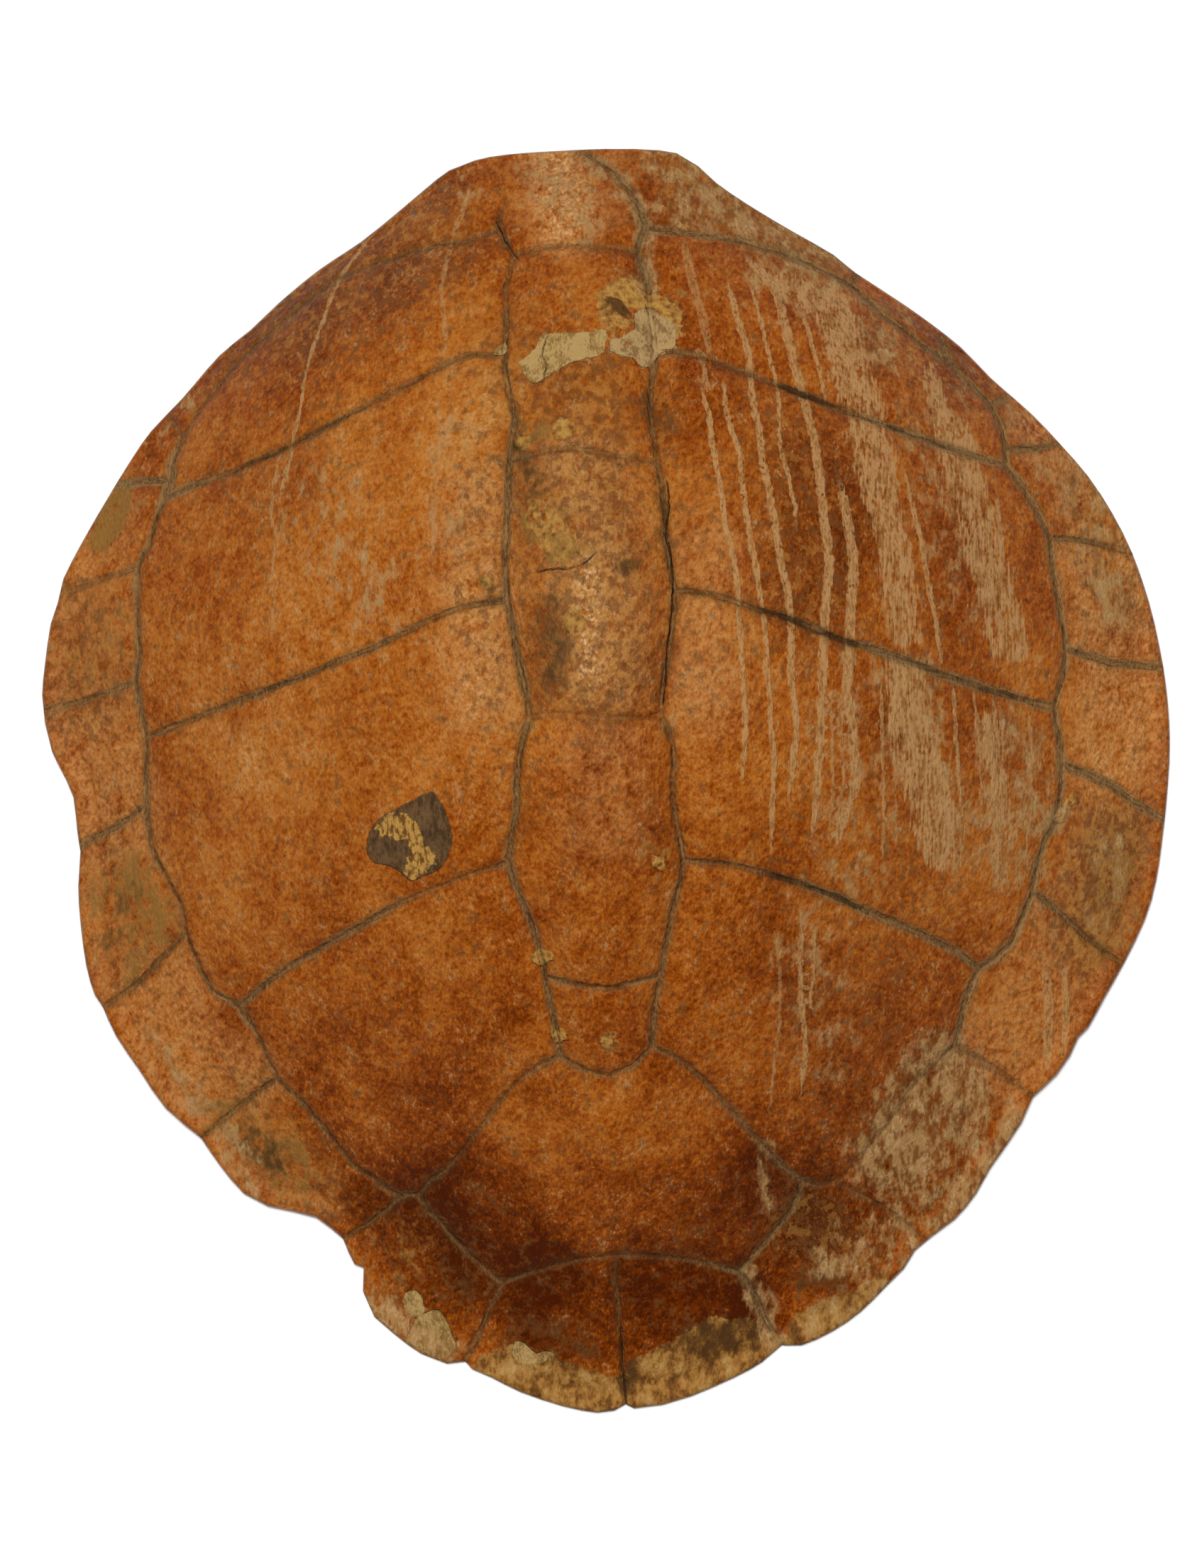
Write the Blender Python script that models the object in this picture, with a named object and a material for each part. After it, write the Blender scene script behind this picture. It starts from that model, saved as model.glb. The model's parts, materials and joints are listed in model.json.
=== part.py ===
"""Carapace of a large sea turtle, one piece, lying on its rim with the dome up.

+Y points to the head end, +X to the animal's right, +Z up. The plan is worked in
millimetres and turned into metres when the mesh is made.
"""

import math

import bmesh
import bpy
import numpy as np
from mathutils import Vector
from mathutils.geometry import delaunay_2d_cdt
from mathutils.noise import noise

MM = 0.001

# Overall form
DOME_HEIGHT = 231.0
APEX_Y = 60.0
RIM_THICKNESS = 8.5
RIM_INSET = 2.6
WALL = 9.0
WALL_MOST = 24.0

# Around the shell, by bearing from the head end in degrees (the same on both sides)
BEARINGS = (0, 18, 36, 54, 72, 92, 112, 132, 152, 168, 180)
FULLNESS = (1.02, 0.88, 0.78, 0.88, 1.30, 1.66, 1.72, 1.68, 1.60, 1.50, 1.48)
ROUNDNESS = (2.0, 2.0, 2.05, 2.15, 2.35, 2.50, 2.45, 2.35, 2.20, 2.12, 2.10)
RIM_LIFT = (30, 24, 12, 5, 0, 0, 3, 6, 3, 0, 0)
UNDER_BAND = (24, 17, 11, 14, 34, 44, 46, 44, 46, 50, 52)
UNDER_RISE = (30, 24, 18, 22, 40, 48, 50, 50, 54, 58, 60)
REST_MARGIN = 0.8
FLARED_FROM = 62
BEARING_BLUR = 7.0
OUTLINE_BLUR = 14.0

# Relief of the upper face
GROOVE_DEPTH = 1.7
GROOVE_WIDTH = 2.6
CROWN = 2.6
CROWN_REACH = 18.0
SWELL = 2.6
SWELL_REACH = 55.0
RIDGE = 4.6
TROUGH = 2.0
TROUGH_REACH = 13.0
KEEL = 4.5
KEEL_REACH = 15.0
NUCHAL_BOSS = 5.0
NUCHAL_CENTRE = (-24.0, 404.0)
NUCHAL_REACH = 40.0
LIP = 1.8
LIP_FROM_EDGE = 5.0
GUTTER = 1.6
GUTTER_FROM_EDGE = 15.0
LIP_REACH = 6.0
LIP_FADE = 18.0
UNEVEN = 1.3
UNEVEN_REACH = 46.0
PEEL_DEPTH = 1.1

# Relief of the under face
SPINE_HEIGHT = 7.0
SPINE_HALF_WIDTH = 17.0
SPINE_FRONT = 355.0
SPINE_TAIL = -330.0
RIB_HEIGHT = 5.0
RIB_HALF_WIDTH = 11.0
RIB_ROOTS = (300, 238, 168, 92, 14, -62, -134, -200)
RIB_BEARINGS = (38, 52, 66, 81, 97, 113, 129, 146)

# Mesh
EDGE_STEP = 14.0
SEAM_STEP = 13.5
SHOULDER = 4.2
TOP_GRID = 21.5
UNDER_GRID = 32.0
CLEAR_SEAM = 9.0
LIP_RINGS = (5.5, 14.0, 22.0)
CLEAR_RING = 31.0
CLEAR_STEEP = 10.0
SEAM_END = 6.0
SAME_POINT = 4.0
BAND_SHARES = (0.0, 0.33, 0.67, 1.0)
BAND_TURN = 6

# Free edge in plan, from the middle of the head end back along each side
LEFT_EDGE = (
    (0, 444), (-35, 442.5), (-70, 440), (-92, 436), (-110, 429), (-128, 415),
    (-147, 399), (-172, 379), (-202, 359), (-230, 336), (-250, 317), (-272, 299),
    (-298, 269), (-320, 246), (-334, 226), (-350, 200), (-368, 169), (-382, 142),
    (-386, 125), (-391, 110), (-395, 82), (-397, 60), (-395, 40), (-390, 20),
    (-380, 0), (-375, -12), (-372, -38), (-370, -50), (-371.5, -75), (-370, -100),
    (-366, -130), (-360, -151), (-354, -160), (-345, -180), (-328, -205),
    (-310, -231), (-285, -252), (-272, -271), (-255, -291), (-238, -300),
    (-219, -304), (-204, -308), (-185, -323), (-181, -333), (-177, -341),
    (-170.5, -343.5), (-171, -360), (-163, -378), (-148, -391), (-130, -404),
    (-112, -411), (-99, -409.5), (-94, -415), (-80, -421), (-60, -431), (-30, -441),
    (-6, -445.5), (6, -444), (14, -439.5),
)
RIGHT_EDGE = (
    (0, 444), (20, 444), (38, 443), (50, 441), (65, 432), (78, 420), (100, 405),
    (130, 387), (160, 370), (176, 357), (190, 348), (220, 328), (250, 305),
    (271, 283.5), (300, 258), (320, 237), (340, 214), (357, 188), (371, 160),
    (383, 125), (390, 95), (395, 65), (397.5, 30), (396, -5), (393, -35), (388, -70),
    (380, -98), (365, -129), (352, -152), (340, -174), (333, -181), (327, -194),
    (318, -207), (301, -223), (293, -241), (283, -256), (271, -273), (261, -291),
    (246, -309), (230, -321), (218, -331), (210, -344), (197, -357), (180, -374),
    (160, -388), (138, -398), (124, -398), (110, -410), (90, -421), (60, -434),
    (40, -440), (20, -442.5), (14, -439.5),
)
NOTCHES = (
    (176, 357), (333, -181), (301, -223), (124, -398), (14, -439.5), (-99, -409.5),
    (-170.5, -343.5), (-185, -323), (-285, -252), (-354, -160), (-386, 125),
)

# Seams between scutes in plan. The side seams of the vertebral row come first.
VERTEBRAL_LEFT = (
    (-80, 437.5), (-71, 410), (-76, 386), (-64.5, 368.5), (-70, 345), (-69, 319),
    (-71, 296), (-70, 280), (-63, 252), (-67, 222), (-68, 190), (-70, 160),
    (-68, 125), (-61, 84), (-55, 60), (-53, 44), (-60, 18), (-63, -30), (-68, -58),
    (-57, -88), (-48, -113), (-42, -137), (-37, -165), (-31.5, -192.5),
)
VERTEBRAL_RIGHT = (
    (-14, 441), (6, 427), (19, 412), (28, 388), (21, 370.5), (28, 353), (31, 330),
    (34, 299), (31, 262), (36, 222), (41, 190), (43, 160), (48, 132), (45, 98),
    (41, 72), (38, 46), (47, 24), (47, -14), (54, -56), (50, -78), (43, -108),
    (39, -135), (34, -160), (32, -186),
)
TAIL_LEFT = (
    (-31.5, -192.5), (-50, -202), (-68, -217), (-86, -242), (-97, -257), (-112, -273),
    (-131, -291), (-118, -309), (-98, -331), (-73, -353.5),
)
TAIL_RIGHT = (
    (32, -186), (57, -199), (75, -217), (90, -233), (112, -259), (125, -272),
    (137, -281), (130, -303), (112, -324), (94, -346),
)
VERTEBRAL_CROSS = (
    ((-64.5, 368.5), (-45, 372.5), (-20, 374.5), (0, 373), (21, 370.5)),
    ((-67, 222), (-45, 228), (-20, 231), (5, 225), (36, 222)),
    ((-53, 44), (-30, 46), (0, 43), (20, 43), (38, 46)),
    ((-42, -137), (-22, -142), (0, -145), (20, -141), (39, -135)),
    ((-31.5, -192.5), (-18, -201), (3, -206.5), (20, -199), (32, -186)),
    ((-73, -353.5), (-52, -346), (-28, -339), (8, -333.5), (45, -335.5), (72, -340),
     (94, -346)),
)
MARGINAL_LEFT = (
    (-76, 386), (-97, 378), (-120, 375), (-147, 367), (-180, 357), (-198, 346),
    (-219, 328.5), (-245, 307), (-266, 285), (-285, 262), (-297, 241), (-304, 226),
    (-306, 211), (-310, 199), (-317, 180), (-322, 163), (-329, 149), (-329, 115),
    (-328, 90), (-331, 68.5), (-327, 50), (-323, 30), (-324, 0), (-323, -17.5),
    (-320, -45), (-310, -66), (-299, -87), (-295, -107.5), (-286, -129),
    (-276, -149), (-257, -159), (-242, -185), (-231, -210), (-214, -226),
    (-199, -243), (-181, -267), (-163, -280), (-144, -293), (-131, -291),
)
MARGINAL_RIGHT = (
    (28, 388), (60, 383), (82, 381), (108, 374), (133, 367), (155, 357),
    (173, 347.5), (196, 326.5), (220, 308), (242, 294), (256, 279), (271, 263.5),
    (279, 246), (281, 232.5), (281.5, 221), (292, 207), (303, 190), (312, 170),
    (314, 149), (319, 120), (324, 91.5), (322, 72), (315, 51), (320, 27),
    (320.5, 11), (318, -22), (304, -55), (300, -78), (292, -97), (284, -116),
    (263, -132.5), (252, -156), (246, -186), (222, -208), (208, -229), (194, -248),
    (174, -271), (163, -282), (150, -285), (137, -281),
)
MARGINAL_CROSS = (
    ((-219, 328.5), (-225, 341)),
    ((-266, 285), (-263, 306)),
    ((-297, 241), (-309, 258)),
    ((-306, 211), (-330, 210), (-345, 209)),
    ((-329, 149), (-345, 145), (-365, 137), (-384, 132)),
    ((-331, 68.5), (-350, 62), (-370, 55), (-396, 49)),
    ((-323, -17.5), (-335, -26), (-350, -36), (-370, -46)),
    ((-295, -107.5), (-315, -128), (-328, -142), (-354, -160)),
    ((-231, -210), (-247, -221), (-262, -233), (-285, -252)),
    ((-144, -293), (-152, -301), (-165, -311), (-185, -323)),
    ((-73, -353.5), (-81, -369), (-88, -388), (-99, -409.5)),
    ((173, 347.5), (176, 357)),
    ((242, 294), (236, 312)),
    ((271, 263.5), (283, 270)),
    ((281, 232.5), (300, 233), (320, 237)),
    ((312, 170), (335, 169), (352, 165), (371, 160)),
    ((324, 91.5), (340, 87), (356, 82), (393, 79)),
    ((320.5, 11), (336, 6), (352, -2), (370, -14), (393, -27)),
    ((300, -78), (314, -89), (328, -101), (342, -114), (363, -129)),
    ((246, -186), (262, -195), (283, -209), (301, -223)),
    ((163, -282), (182, -294), (201, -304), (225, -325)),
    ((94, -346), (104, -360), (112, -379), (124, -398)),
    ((8, -333.5), (6, -350), (9, -368), (11, -390), (12, -412), (14, -439.5)),
)
COSTAL_CROSS = (
    ((-71, 296), (-96, 297), (-120, 286), (-147, 272), (-180, 255), (-218, 235),
     (-250, 221), (-280, 210), (-310, 199)),
    ((-68, 125), (-90, 122), (-112, 116), (-147, 99), (-180, 85), (-215, 71),
     (-242, 61), (-283, 45), (-323, 30)),
    ((-68, -58), (-92, -65), (-118, -75), (-147, -88), (-180, -107), (-200, -118),
     (-228, -135), (-257, -159)),
    ((34, 299), (58, 298), (82, 290), (108, 281), (133, 271), (160, 261), (188, 251),
     (216, 241), (250, 230), (281.5, 221)),
    ((48, 132), (75, 129), (102, 120), (133, 110), (160, 99), (195, 89), (220, 80),
     (243, 71), (280, 60), (315, 51)),
    ((54, -56), (82, -58), (108, -64), (133, -71), (158, -81), (192, -95), (228, -111),
     (248, -121), (263, -132.5)),
)

# Places where the horny layer has come away on the first vertebral scute
PEELED = (
    ((-45, 312), (-25, 312), (-10, 314), (-1, 319), (1, 309), (-2, 297), (-24, 291),
     (-36, 284), (-50, 276), (-58, 284), (-64, 293), (-53, 296)),
    ((2, 309), (19, 312), (20, 327), (33, 330), (40, 322), (47, 320), (49, 303),
     (39, 299), (31, 288), (22, 289), (19, 294), (3, 299)),
)
PIT_CENTRE = (6.5, 332.0)
PIT_DEPTH = 4.0
PIT_REACH = (3.4, 5.6)


def catmull(points, step, notches=()):
    """A curve through the points, each of which stays a point of it. A notch keeps a corner."""
    points = np.array(points, float)
    count = len(points)
    corner = [tuple(p) in notches for p in points]
    corner[0] = True
    corner[-1] = True
    curve = [points[0]]
    for i in range(count - 1):
        start = points[i]
        end = points[i + 1]
        before = start if corner[i] else points[i - 1]
        after = end if corner[i + 1] else points[i + 2]
        lead = (end - before) * 0.5
        trail = (after - start) * 0.5
        length = np.linalg.norm(end - start)
        parts = max(1, round(length / step))
        for k in range(1, parts + 1):
            t = k / parts
            t2 = t * t
            t3 = t2 * t
            curve.append(
                start * (2 * t3 - 3 * t2 + 1) + lead * (t3 - 2 * t2 + t)
                + end * (3 * t2 - 2 * t3) + trail * (t3 - t2)
            )
    return np.array(curve)


def closed_outline(step):
    """The free edge as one anticlockwise ring."""
    notches = {tuple(map(float, p)) for p in NOTCHES}
    left = catmull(smooth_start(LEFT_EDGE, RIGHT_EDGE), step, notches)
    right = catmull(smooth_start(RIGHT_EDGE, LEFT_EDGE), step, notches)
    start = np.argmin(np.abs(left - LEFT_EDGE[0]).sum(axis=1))
    left = left[start:]
    start = np.argmin(np.abs(right - RIGHT_EDGE[0]).sum(axis=1))
    right = right[start:]
    return np.vstack([left[:-1], right[::-1][:-1]])


def smooth_start(side, other):
    """One side led in by the other's next point, so that the head end has no corner."""
    return (other[1],) + side


def inward(ring, distance):
    """The anticlockwise ring moved inwards by the distance."""
    along = np.roll(ring, -1, axis=0) - np.roll(ring, 1, axis=0)
    along /= np.linalg.norm(along, axis=1)[:, None]
    normal = np.column_stack([-along[:, 1], along[:, 0]])
    return ring + normal * distance


def segments(line):
    return np.hstack([line[:-1], line[1:]])


def segment_distance(points, segs):
    """The distance from each point to the nearest of the segments."""
    start = segs[:, :2]
    along = segs[:, 2:] - start
    length2 = np.maximum((along ** 2).sum(axis=1), 1e-9)
    nearest = np.empty(len(points))
    chunk = 2000
    for first in range(0, len(points), chunk):
        block = points[first:first + chunk, None, :] - start[None]
        t = np.clip((block * along[None]).sum(axis=2) / length2, 0, 1)
        gap = block - t[:, :, None] * along[None]
        nearest[first:first + chunk] = np.sqrt((gap ** 2).sum(axis=2).min(axis=1))
    return nearest


def inside(points, ring):
    """Which points lie inside the ring."""
    x = points[:, 0][:, None]
    y = points[:, 1][:, None]
    x0 = ring[:, 0]
    y0 = ring[:, 1]
    x1 = np.roll(x0, -1)
    y1 = np.roll(y0, -1)
    spans = (y0 > y) != (y1 > y)
    rise = np.where(y1 == y0, 1e-9, y1 - y0)
    return (spans & (x < (x1 - x0) * (y - y0) / rise + x0)).sum(axis=1) % 2 == 1


def ease(t):
    t = np.clip(t, 0, 1)
    return t * t * (3 - 2 * t)


def bump(distance, reach):
    return np.exp(-((distance / reach) ** 2))


def around(values):
    """A smooth function of the bearing, in radians, through a row of the tables above."""
    grid = np.arange(-540, 541)
    near = np.abs((grid + 180) % 360 - 180)
    row = np.interp(near, BEARINGS, values)
    reach = np.arange(-40, 41)
    weight = bump(reach, BEARING_BLUR)
    row = np.convolve(row, weight / weight.sum(), mode="same")
    return lambda bearing: np.interp(np.degrees(bearing), grid, row)


def ring_radius(ring):
    """The plan radius from the apex against bearing: as traced, and with the scallops taken out."""
    grid = np.arange(-540, 541)
    bearing = np.degrees(np.arctan2(ring[:, 0], ring[:, 1] - APEX_Y))
    radius = np.hypot(ring[:, 0], ring[:, 1] - APEX_Y)
    order = np.argsort(bearing)
    bearing = np.concatenate([bearing[order] + turn for turn in (-720, -360, 0, 360, 720)])
    radius = np.tile(radius[order], 5)
    reach = np.arange(-50, 51)
    weight = bump(reach, OUTLINE_BLUR)
    wide = np.interp(np.arange(-640, 641), bearing, radius)
    even = np.convolve(wide, weight / weight.sum(), mode="same")[100:-100]
    fine = np.interp(np.arange(-5400, 5401) / 10, bearing, radius)
    return (
        lambda angle: np.interp(np.degrees(angle), np.arange(-5400, 5401) / 10, fine),
        lambda angle: np.interp(np.degrees(angle), grid, even),
    )


def with_seam_ends(ring, lines):
    """The ring with a point of its own wherever a seam runs out to it."""
    for line in lines:
        for end in (line[0], line[-1]):
            start = ring
            along = np.roll(ring, -1, axis=0) - start
            share = ((end - start) * along).sum(axis=1) / (along ** 2).sum(axis=1)
            foot = start + np.clip(share, 0, 1)[:, None] * along
            gap = np.hypot(*(foot - end).T)
            nearest = gap.argmin()
            to_points = np.hypot(*(ring - foot[nearest]).T).min()
            if gap[nearest] < SEAM_END and to_points > SAME_POINT:
                ring = np.insert(ring, nearest + 1, foot[nearest], axis=0)
    return ring


SEAMS = [
    catmull(line, SEAM_STEP)
    for line in (
        VERTEBRAL_LEFT, VERTEBRAL_RIGHT, TAIL_LEFT, TAIL_RIGHT, MARGINAL_LEFT,
        MARGINAL_RIGHT, *VERTEBRAL_CROSS, *COSTAL_CROSS, *MARGINAL_CROSS,
    )
]
OUTLINE = with_seam_ends(closed_outline(EDGE_STEP), SEAMS)
SEAM_SEGMENTS = np.vstack([segments(line) for line in SEAMS])
EDGE_SEGMENTS = np.hstack([OUTLINE, np.roll(OUTLINE, -1, axis=0)])
fullness = around(FULLNESS)
roundness = around(ROUNDNESS)
rough_lift = around(RIM_LIFT)
under_band = around(UNDER_BAND)
under_rise = around(UNDER_RISE)
traced_radius, even_radius = ring_radius(OUTLINE)


def rim_lift(bearing):
    """The rim's height off the ground: none at all where the shell rests on it."""
    return np.maximum(rough_lift(bearing) - REST_MARGIN, 0)


def is_flared(points):
    """Where the marginal scutes spread outwards, which is everywhere but the head end."""
    bearing = np.arctan2(points[:, 0], points[:, 1] - APEX_Y)
    return np.abs(bearing) > math.radians(FLARED_FROM)


def place(points):
    """Bearing, share of the way out (1 at the free edge) and plan radius there."""
    x = points[:, 0]
    y = points[:, 1] - APEX_Y
    bearing = np.arctan2(x, y)
    radius = np.hypot(x, y)
    even = even_radius(bearing)
    rough = np.clip(radius / even, 0, 1.2) ** 6
    edge = even + (traced_radius(bearing) - even) * np.clip(rough, 0, 1)
    return bearing, np.clip(radius / edge, 0, 1), edge


def dome(points):
    """The even dome without any relief."""
    bearing, share, _ = place(points)
    base = rim_lift(bearing) + RIM_THICKNESS
    level = (1 - share ** roundness(bearing)) ** fullness(bearing)
    return base + (DOME_HEIGHT - base) * level


def sums(points, reach, seed):
    """Gentle unevenness between about -1 and 1."""
    scaled = points / reach
    return np.array([
        noise(Vector((u, v, seed))) + 0.5 * noise(Vector((2.1 * u, 2.1 * v, seed + 7)))
        for u, v in scaled
    ])


def strip_share(points):
    """Where the point lies across the vertebral row: -1 and 1 at its side seams."""
    left = np.array(VERTEBRAL_LEFT)[::-1]
    right = np.array(VERTEBRAL_RIGHT)[::-1]
    low = np.interp(points[:, 1], left[:, 1], left[:, 0])
    high = np.interp(points[:, 1], right[:, 1], right[:, 0])
    return (points[:, 0] - (low + high) / 2) / ((high - low) / 2)


def relief(points):
    """Everything that stands proud of the even dome, or is cut into it."""
    x = points[:, 0]
    y = points[:, 1]
    seam = segment_distance(points, SEAM_SEGMENTS)
    edge = segment_distance(points, EDGE_SEGMENTS)
    fade = ease((edge - 6) / 40)
    sides = np.vstack([segments(SEAMS[0]), segments(SEAMS[1])])
    beside = segment_distance(points, sides)
    height = -GROOVE_DEPTH * bump(seam, GROOVE_WIDTH)
    height -= CROWN * np.exp(-seam / CROWN_REACH) * fade
    height += SWELL * (1 - np.exp(-seam / SWELL_REACH)) * fade
    row = ease((y + 215) / 60) * ease((437 - y) / 90)
    across = np.clip(1 - strip_share(points) ** 2, 0, 1)
    height += RIDGE * across * row
    height -= TROUGH * bump(beside, TROUGH_REACH) * row * fade
    middle = np.interp(y, (-445, -334, -200), (10, 6, 0))
    keel = ease((-195 - y) / 50) * ease((y + 436) / 60)
    height += KEEL * bump(x - middle, KEEL_REACH) * keel
    boss = np.hypot(x - NUCHAL_CENTRE[0], y - NUCHAL_CENTRE[1])
    height += NUCHAL_BOSS * bump(boss, NUCHAL_REACH) * ease(edge / 20)
    bearing, _, _ = place(points)
    flared = ease((np.degrees(np.abs(bearing)) - FLARED_FROM) / LIP_FADE)
    height += LIP * bump(edge - LIP_FROM_EDGE, LIP_REACH) * flared
    height -= GUTTER * bump(edge - GUTTER_FROM_EDGE, LIP_REACH) * flared
    height += UNEVEN * sums(points, UNEVEN_REACH, 3.0) * ease(edge / 25)
    for patch in PEELED:
        ring = np.array(patch, float)
        gap = segment_distance(points, np.hstack([ring, np.roll(ring, -1, axis=0)]))
        height -= PEEL_DEPTH * np.where(inside(points, ring), ease(gap / 1.5), 0)
    pit = np.hypot((x - PIT_CENTRE[0]) / PIT_REACH[0], (y - PIT_CENTRE[1]) / PIT_REACH[1])
    height -= PIT_DEPTH * bump(pit, 1.0)
    return height


def top_height(points):
    return dome(points) + relief(points)


def rib_lines():
    """Each rib's middle line in plan, from beside the spine out to the marginal band."""
    lines = []
    for root, turn in zip(RIB_ROOTS, RIB_BEARINGS):
        for side in (-1, 1):
            bearing = side * math.radians(turn)
            reach = float(even_radius(bearing) - under_band(bearing) * 0.9)
            end = np.array([math.sin(bearing) * reach, APEX_Y + math.cos(bearing) * reach])
            start = np.array([spine_x(root) + side * SPINE_HALF_WIDTH * 0.6, root])
            middle = (start + end) / 2 + np.array([0, 8.0])
            lines.append(catmull((start, middle, end), 30.0))
    return lines


def spine_x(y):
    """The animal's middle line, which leans a little across the plan."""
    return np.interp(y, (-440, -200, 0, 370), (12, 0, -6, -22))


def under_height(points):
    """The under face: a flat band at the rim, then the hollow with its spine and ribs."""
    bearing, _, _ = place(points)
    even = dome(points)
    delta = 1.5
    slope = np.hypot(
        dome(points + (delta, 0)) - dome(points - (delta, 0)),
        dome(points + (0, delta)) - dome(points - (0, delta)),
    ) / (2 * delta)
    wall = np.minimum(WALL * np.sqrt(1 + slope ** 2), WALL_MOST)
    rim = rim_lift(bearing)
    x = points[:, 0]
    y = points[:, 1]
    from_edge = even_radius(bearing) - np.hypot(x, y - APEX_Y)
    rise = ease((from_edge - under_band(bearing)) / under_rise(bearing))
    height = rim + np.maximum(even - wall - rim, 0) * rise
    spine = bump(x - spine_x(y), SPINE_HALF_WIDTH * 0.75)
    spine *= ease((SPINE_FRONT - y) / 40) * ease((y - SPINE_TAIL) / 60)
    waist = 0.8 + 0.2 * np.cos(2 * math.pi * (y - RIB_ROOTS[0]) / 73)
    ribs = np.zeros(len(points))
    for line in rib_lines():
        gap = segment_distance(points, segments(line))
        out = np.hypot(x - line[0, 0], y - line[0, 1])
        length = np.hypot(*(line[-1] - line[0]))
        strength = 0.5 + 0.5 * np.cos(2 * math.pi * np.clip(out / length, 0, 1))
        strength = 0.4 + 0.6 * strength
        ribs = np.maximum(ribs, bump(gap, RIB_HALF_WIDTH * 0.7) * strength)
    height -= (SPINE_HEIGHT * spine * waist + RIB_HEIGHT * ribs * (1 - spine)) * rise
    return height


def hexagon_grid(step, ring, keep_off, off_by, from_ring):
    """Evenly spread points inside the ring, clear of the given segments."""
    low = ring.min(axis=0)
    high = ring.max(axis=0)
    rows = []
    for j, y in enumerate(np.arange(low[1], high[1], step * math.sqrt(3) / 2)):
        x = np.arange(low[0] + (j % 2) * step / 2, high[0], step)
        rows.append(np.column_stack([x, np.full(len(x), y)]))
    points = np.vstack(rows)
    points = points[inside(points, ring)]
    ring_segs = np.hstack([ring, np.roll(ring, -1, axis=0)])
    points = points[segment_distance(points, ring_segs) > from_ring]
    return points[segment_distance(points, keep_off) > off_by]


def snapped(line, ring):
    """The line with an end that comes near the ring moved on to the ring's nearest point."""
    line = line.copy()
    for end in (0, -1):
        gap = np.hypot(*(ring - line[end]).T)
        if gap.min() < SEAM_END:
            line[end] = ring[gap.argmin()]
    return line


def shoulders(lines, ring):
    """Points just beside the lines, where the surface turns into the groove."""
    found = []
    segs = np.vstack([segments(line) for line in lines])
    ring_segs = np.hstack([ring, np.roll(ring, -1, axis=0)])
    for line in lines:
        middle = (line[1:] + line[:-1]) / 2
        along = line[1:] - line[:-1]
        along /= np.linalg.norm(along, axis=1)[:, None]
        normal = np.column_stack([-along[:, 1], along[:, 0]])
        for side in (-SHOULDER, SHOULDER):
            points = middle + normal * side
            clear = segment_distance(points, segs) > SHOULDER * 0.9
            clear &= segment_distance(points, ring_segs) > SHOULDER
            clear &= inside(points, ring)
            found.append(points[clear])
    kept = []
    for point in np.vstack(found):
        if all(abs(point[0] - k[0]) + abs(point[1] - k[1]) > SHOULDER for k in kept[-400:]):
            kept.append(point)
    return np.array(kept)


def triangulate(ring, lines, loose):
    """The ring's inside as triangles that follow the lines and use the loose points."""
    points = [tuple(p) for p in ring]
    edges = [(i, (i + 1) % len(ring)) for i in range(len(ring))]
    index = {tuple(np.round(p, 3)): i for i, p in enumerate(points)}
    for line in lines:
        last = None
        for p in line:
            key = tuple(np.round(p, 3))
            if key not in index:
                index[key] = len(points)
                points.append(tuple(p))
            here = index[key]
            if last is not None and last != here:
                edges.append((last, here))
            last = here
    points.extend(tuple(p) for p in loose)
    face = [list(range(len(ring)))]
    made = delaunay_2d_cdt([Vector(p) for p in points], edges, face, 1, 1e-4)
    return np.array([tuple(v) for v in made[0]]), [tuple(f) for f in made[2]]


def top_face(ring):
    """Points and triangles of the upper face."""
    lines = [snapped(line, ring) for line in SEAMS]
    patches = [np.array(patch + patch[:1], float) for patch in PEELED]
    seam_segs = np.vstack([segments(line) for line in lines])
    patch_segs = np.vstack([segments(patch) for patch in patches])
    keep_off = np.vstack([seam_segs, patch_segs])
    edge = np.vstack([inward(OUTLINE, gone) for gone in LIP_RINGS])
    edge = edge[is_flared(edge) & (segment_distance(edge, keep_off) > CLEAR_SEAM * 0.8)]
    grid = hexagon_grid(TOP_GRID, ring, keep_off, CLEAR_SEAM, CLEAR_STEEP)
    near = segment_distance(grid, EDGE_SEGMENTS) < CLEAR_RING
    grid = grid[~(is_flared(grid) & near)]
    loose = np.vstack([shoulders(lines, ring), edge, grid])
    plan, faces = triangulate(ring, lines, loose)
    return np.column_stack([plan, top_height(plan)]), faces


def under_face(ring):
    """Points and triangles of the under face, following the band, the ribs and the spine."""
    ribs = rib_lines()
    spine_y = np.arange(SPINE_FRONT, SPINE_TAIL, -26.0)
    spine = np.column_stack([spine_x(spine_y), spine_y])
    flanks = []
    for line in ribs + [spine]:
        along = np.gradient(line, axis=0)
        along /= np.linalg.norm(along, axis=1)[:, None]
        normal = np.column_stack([-along[:, 1], along[:, 0]])
        width = SPINE_HALF_WIDTH if line is spine else RIB_HALF_WIDTH
        flanks.append(line + normal * width)
        flanks.append(line - normal * width)
    bearing = np.radians(np.arange(0, 361, BAND_TURN))
    bands = []
    for share in BAND_SHARES:
        gone = under_band(bearing) + share * under_rise(bearing)
        radius = even_radius(bearing) - gone
        bands.append(np.column_stack([
            np.sin(bearing) * radius, APEX_Y + np.cos(bearing) * radius,
        ]))
    lines = ribs + [spine] + bands
    keep_off = np.vstack([segments(line) for line in lines])
    flank_points = np.vstack(flanks)
    flank_points = flank_points[segment_distance(flank_points, keep_off) > 6]
    grid = hexagon_grid(UNDER_GRID, ring, keep_off, UNDER_GRID * 0.45, 14.0)
    plan, faces = triangulate(ring, lines, np.vstack([flank_points, grid]))
    return np.column_stack([plan, under_height(plan)]), faces


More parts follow.
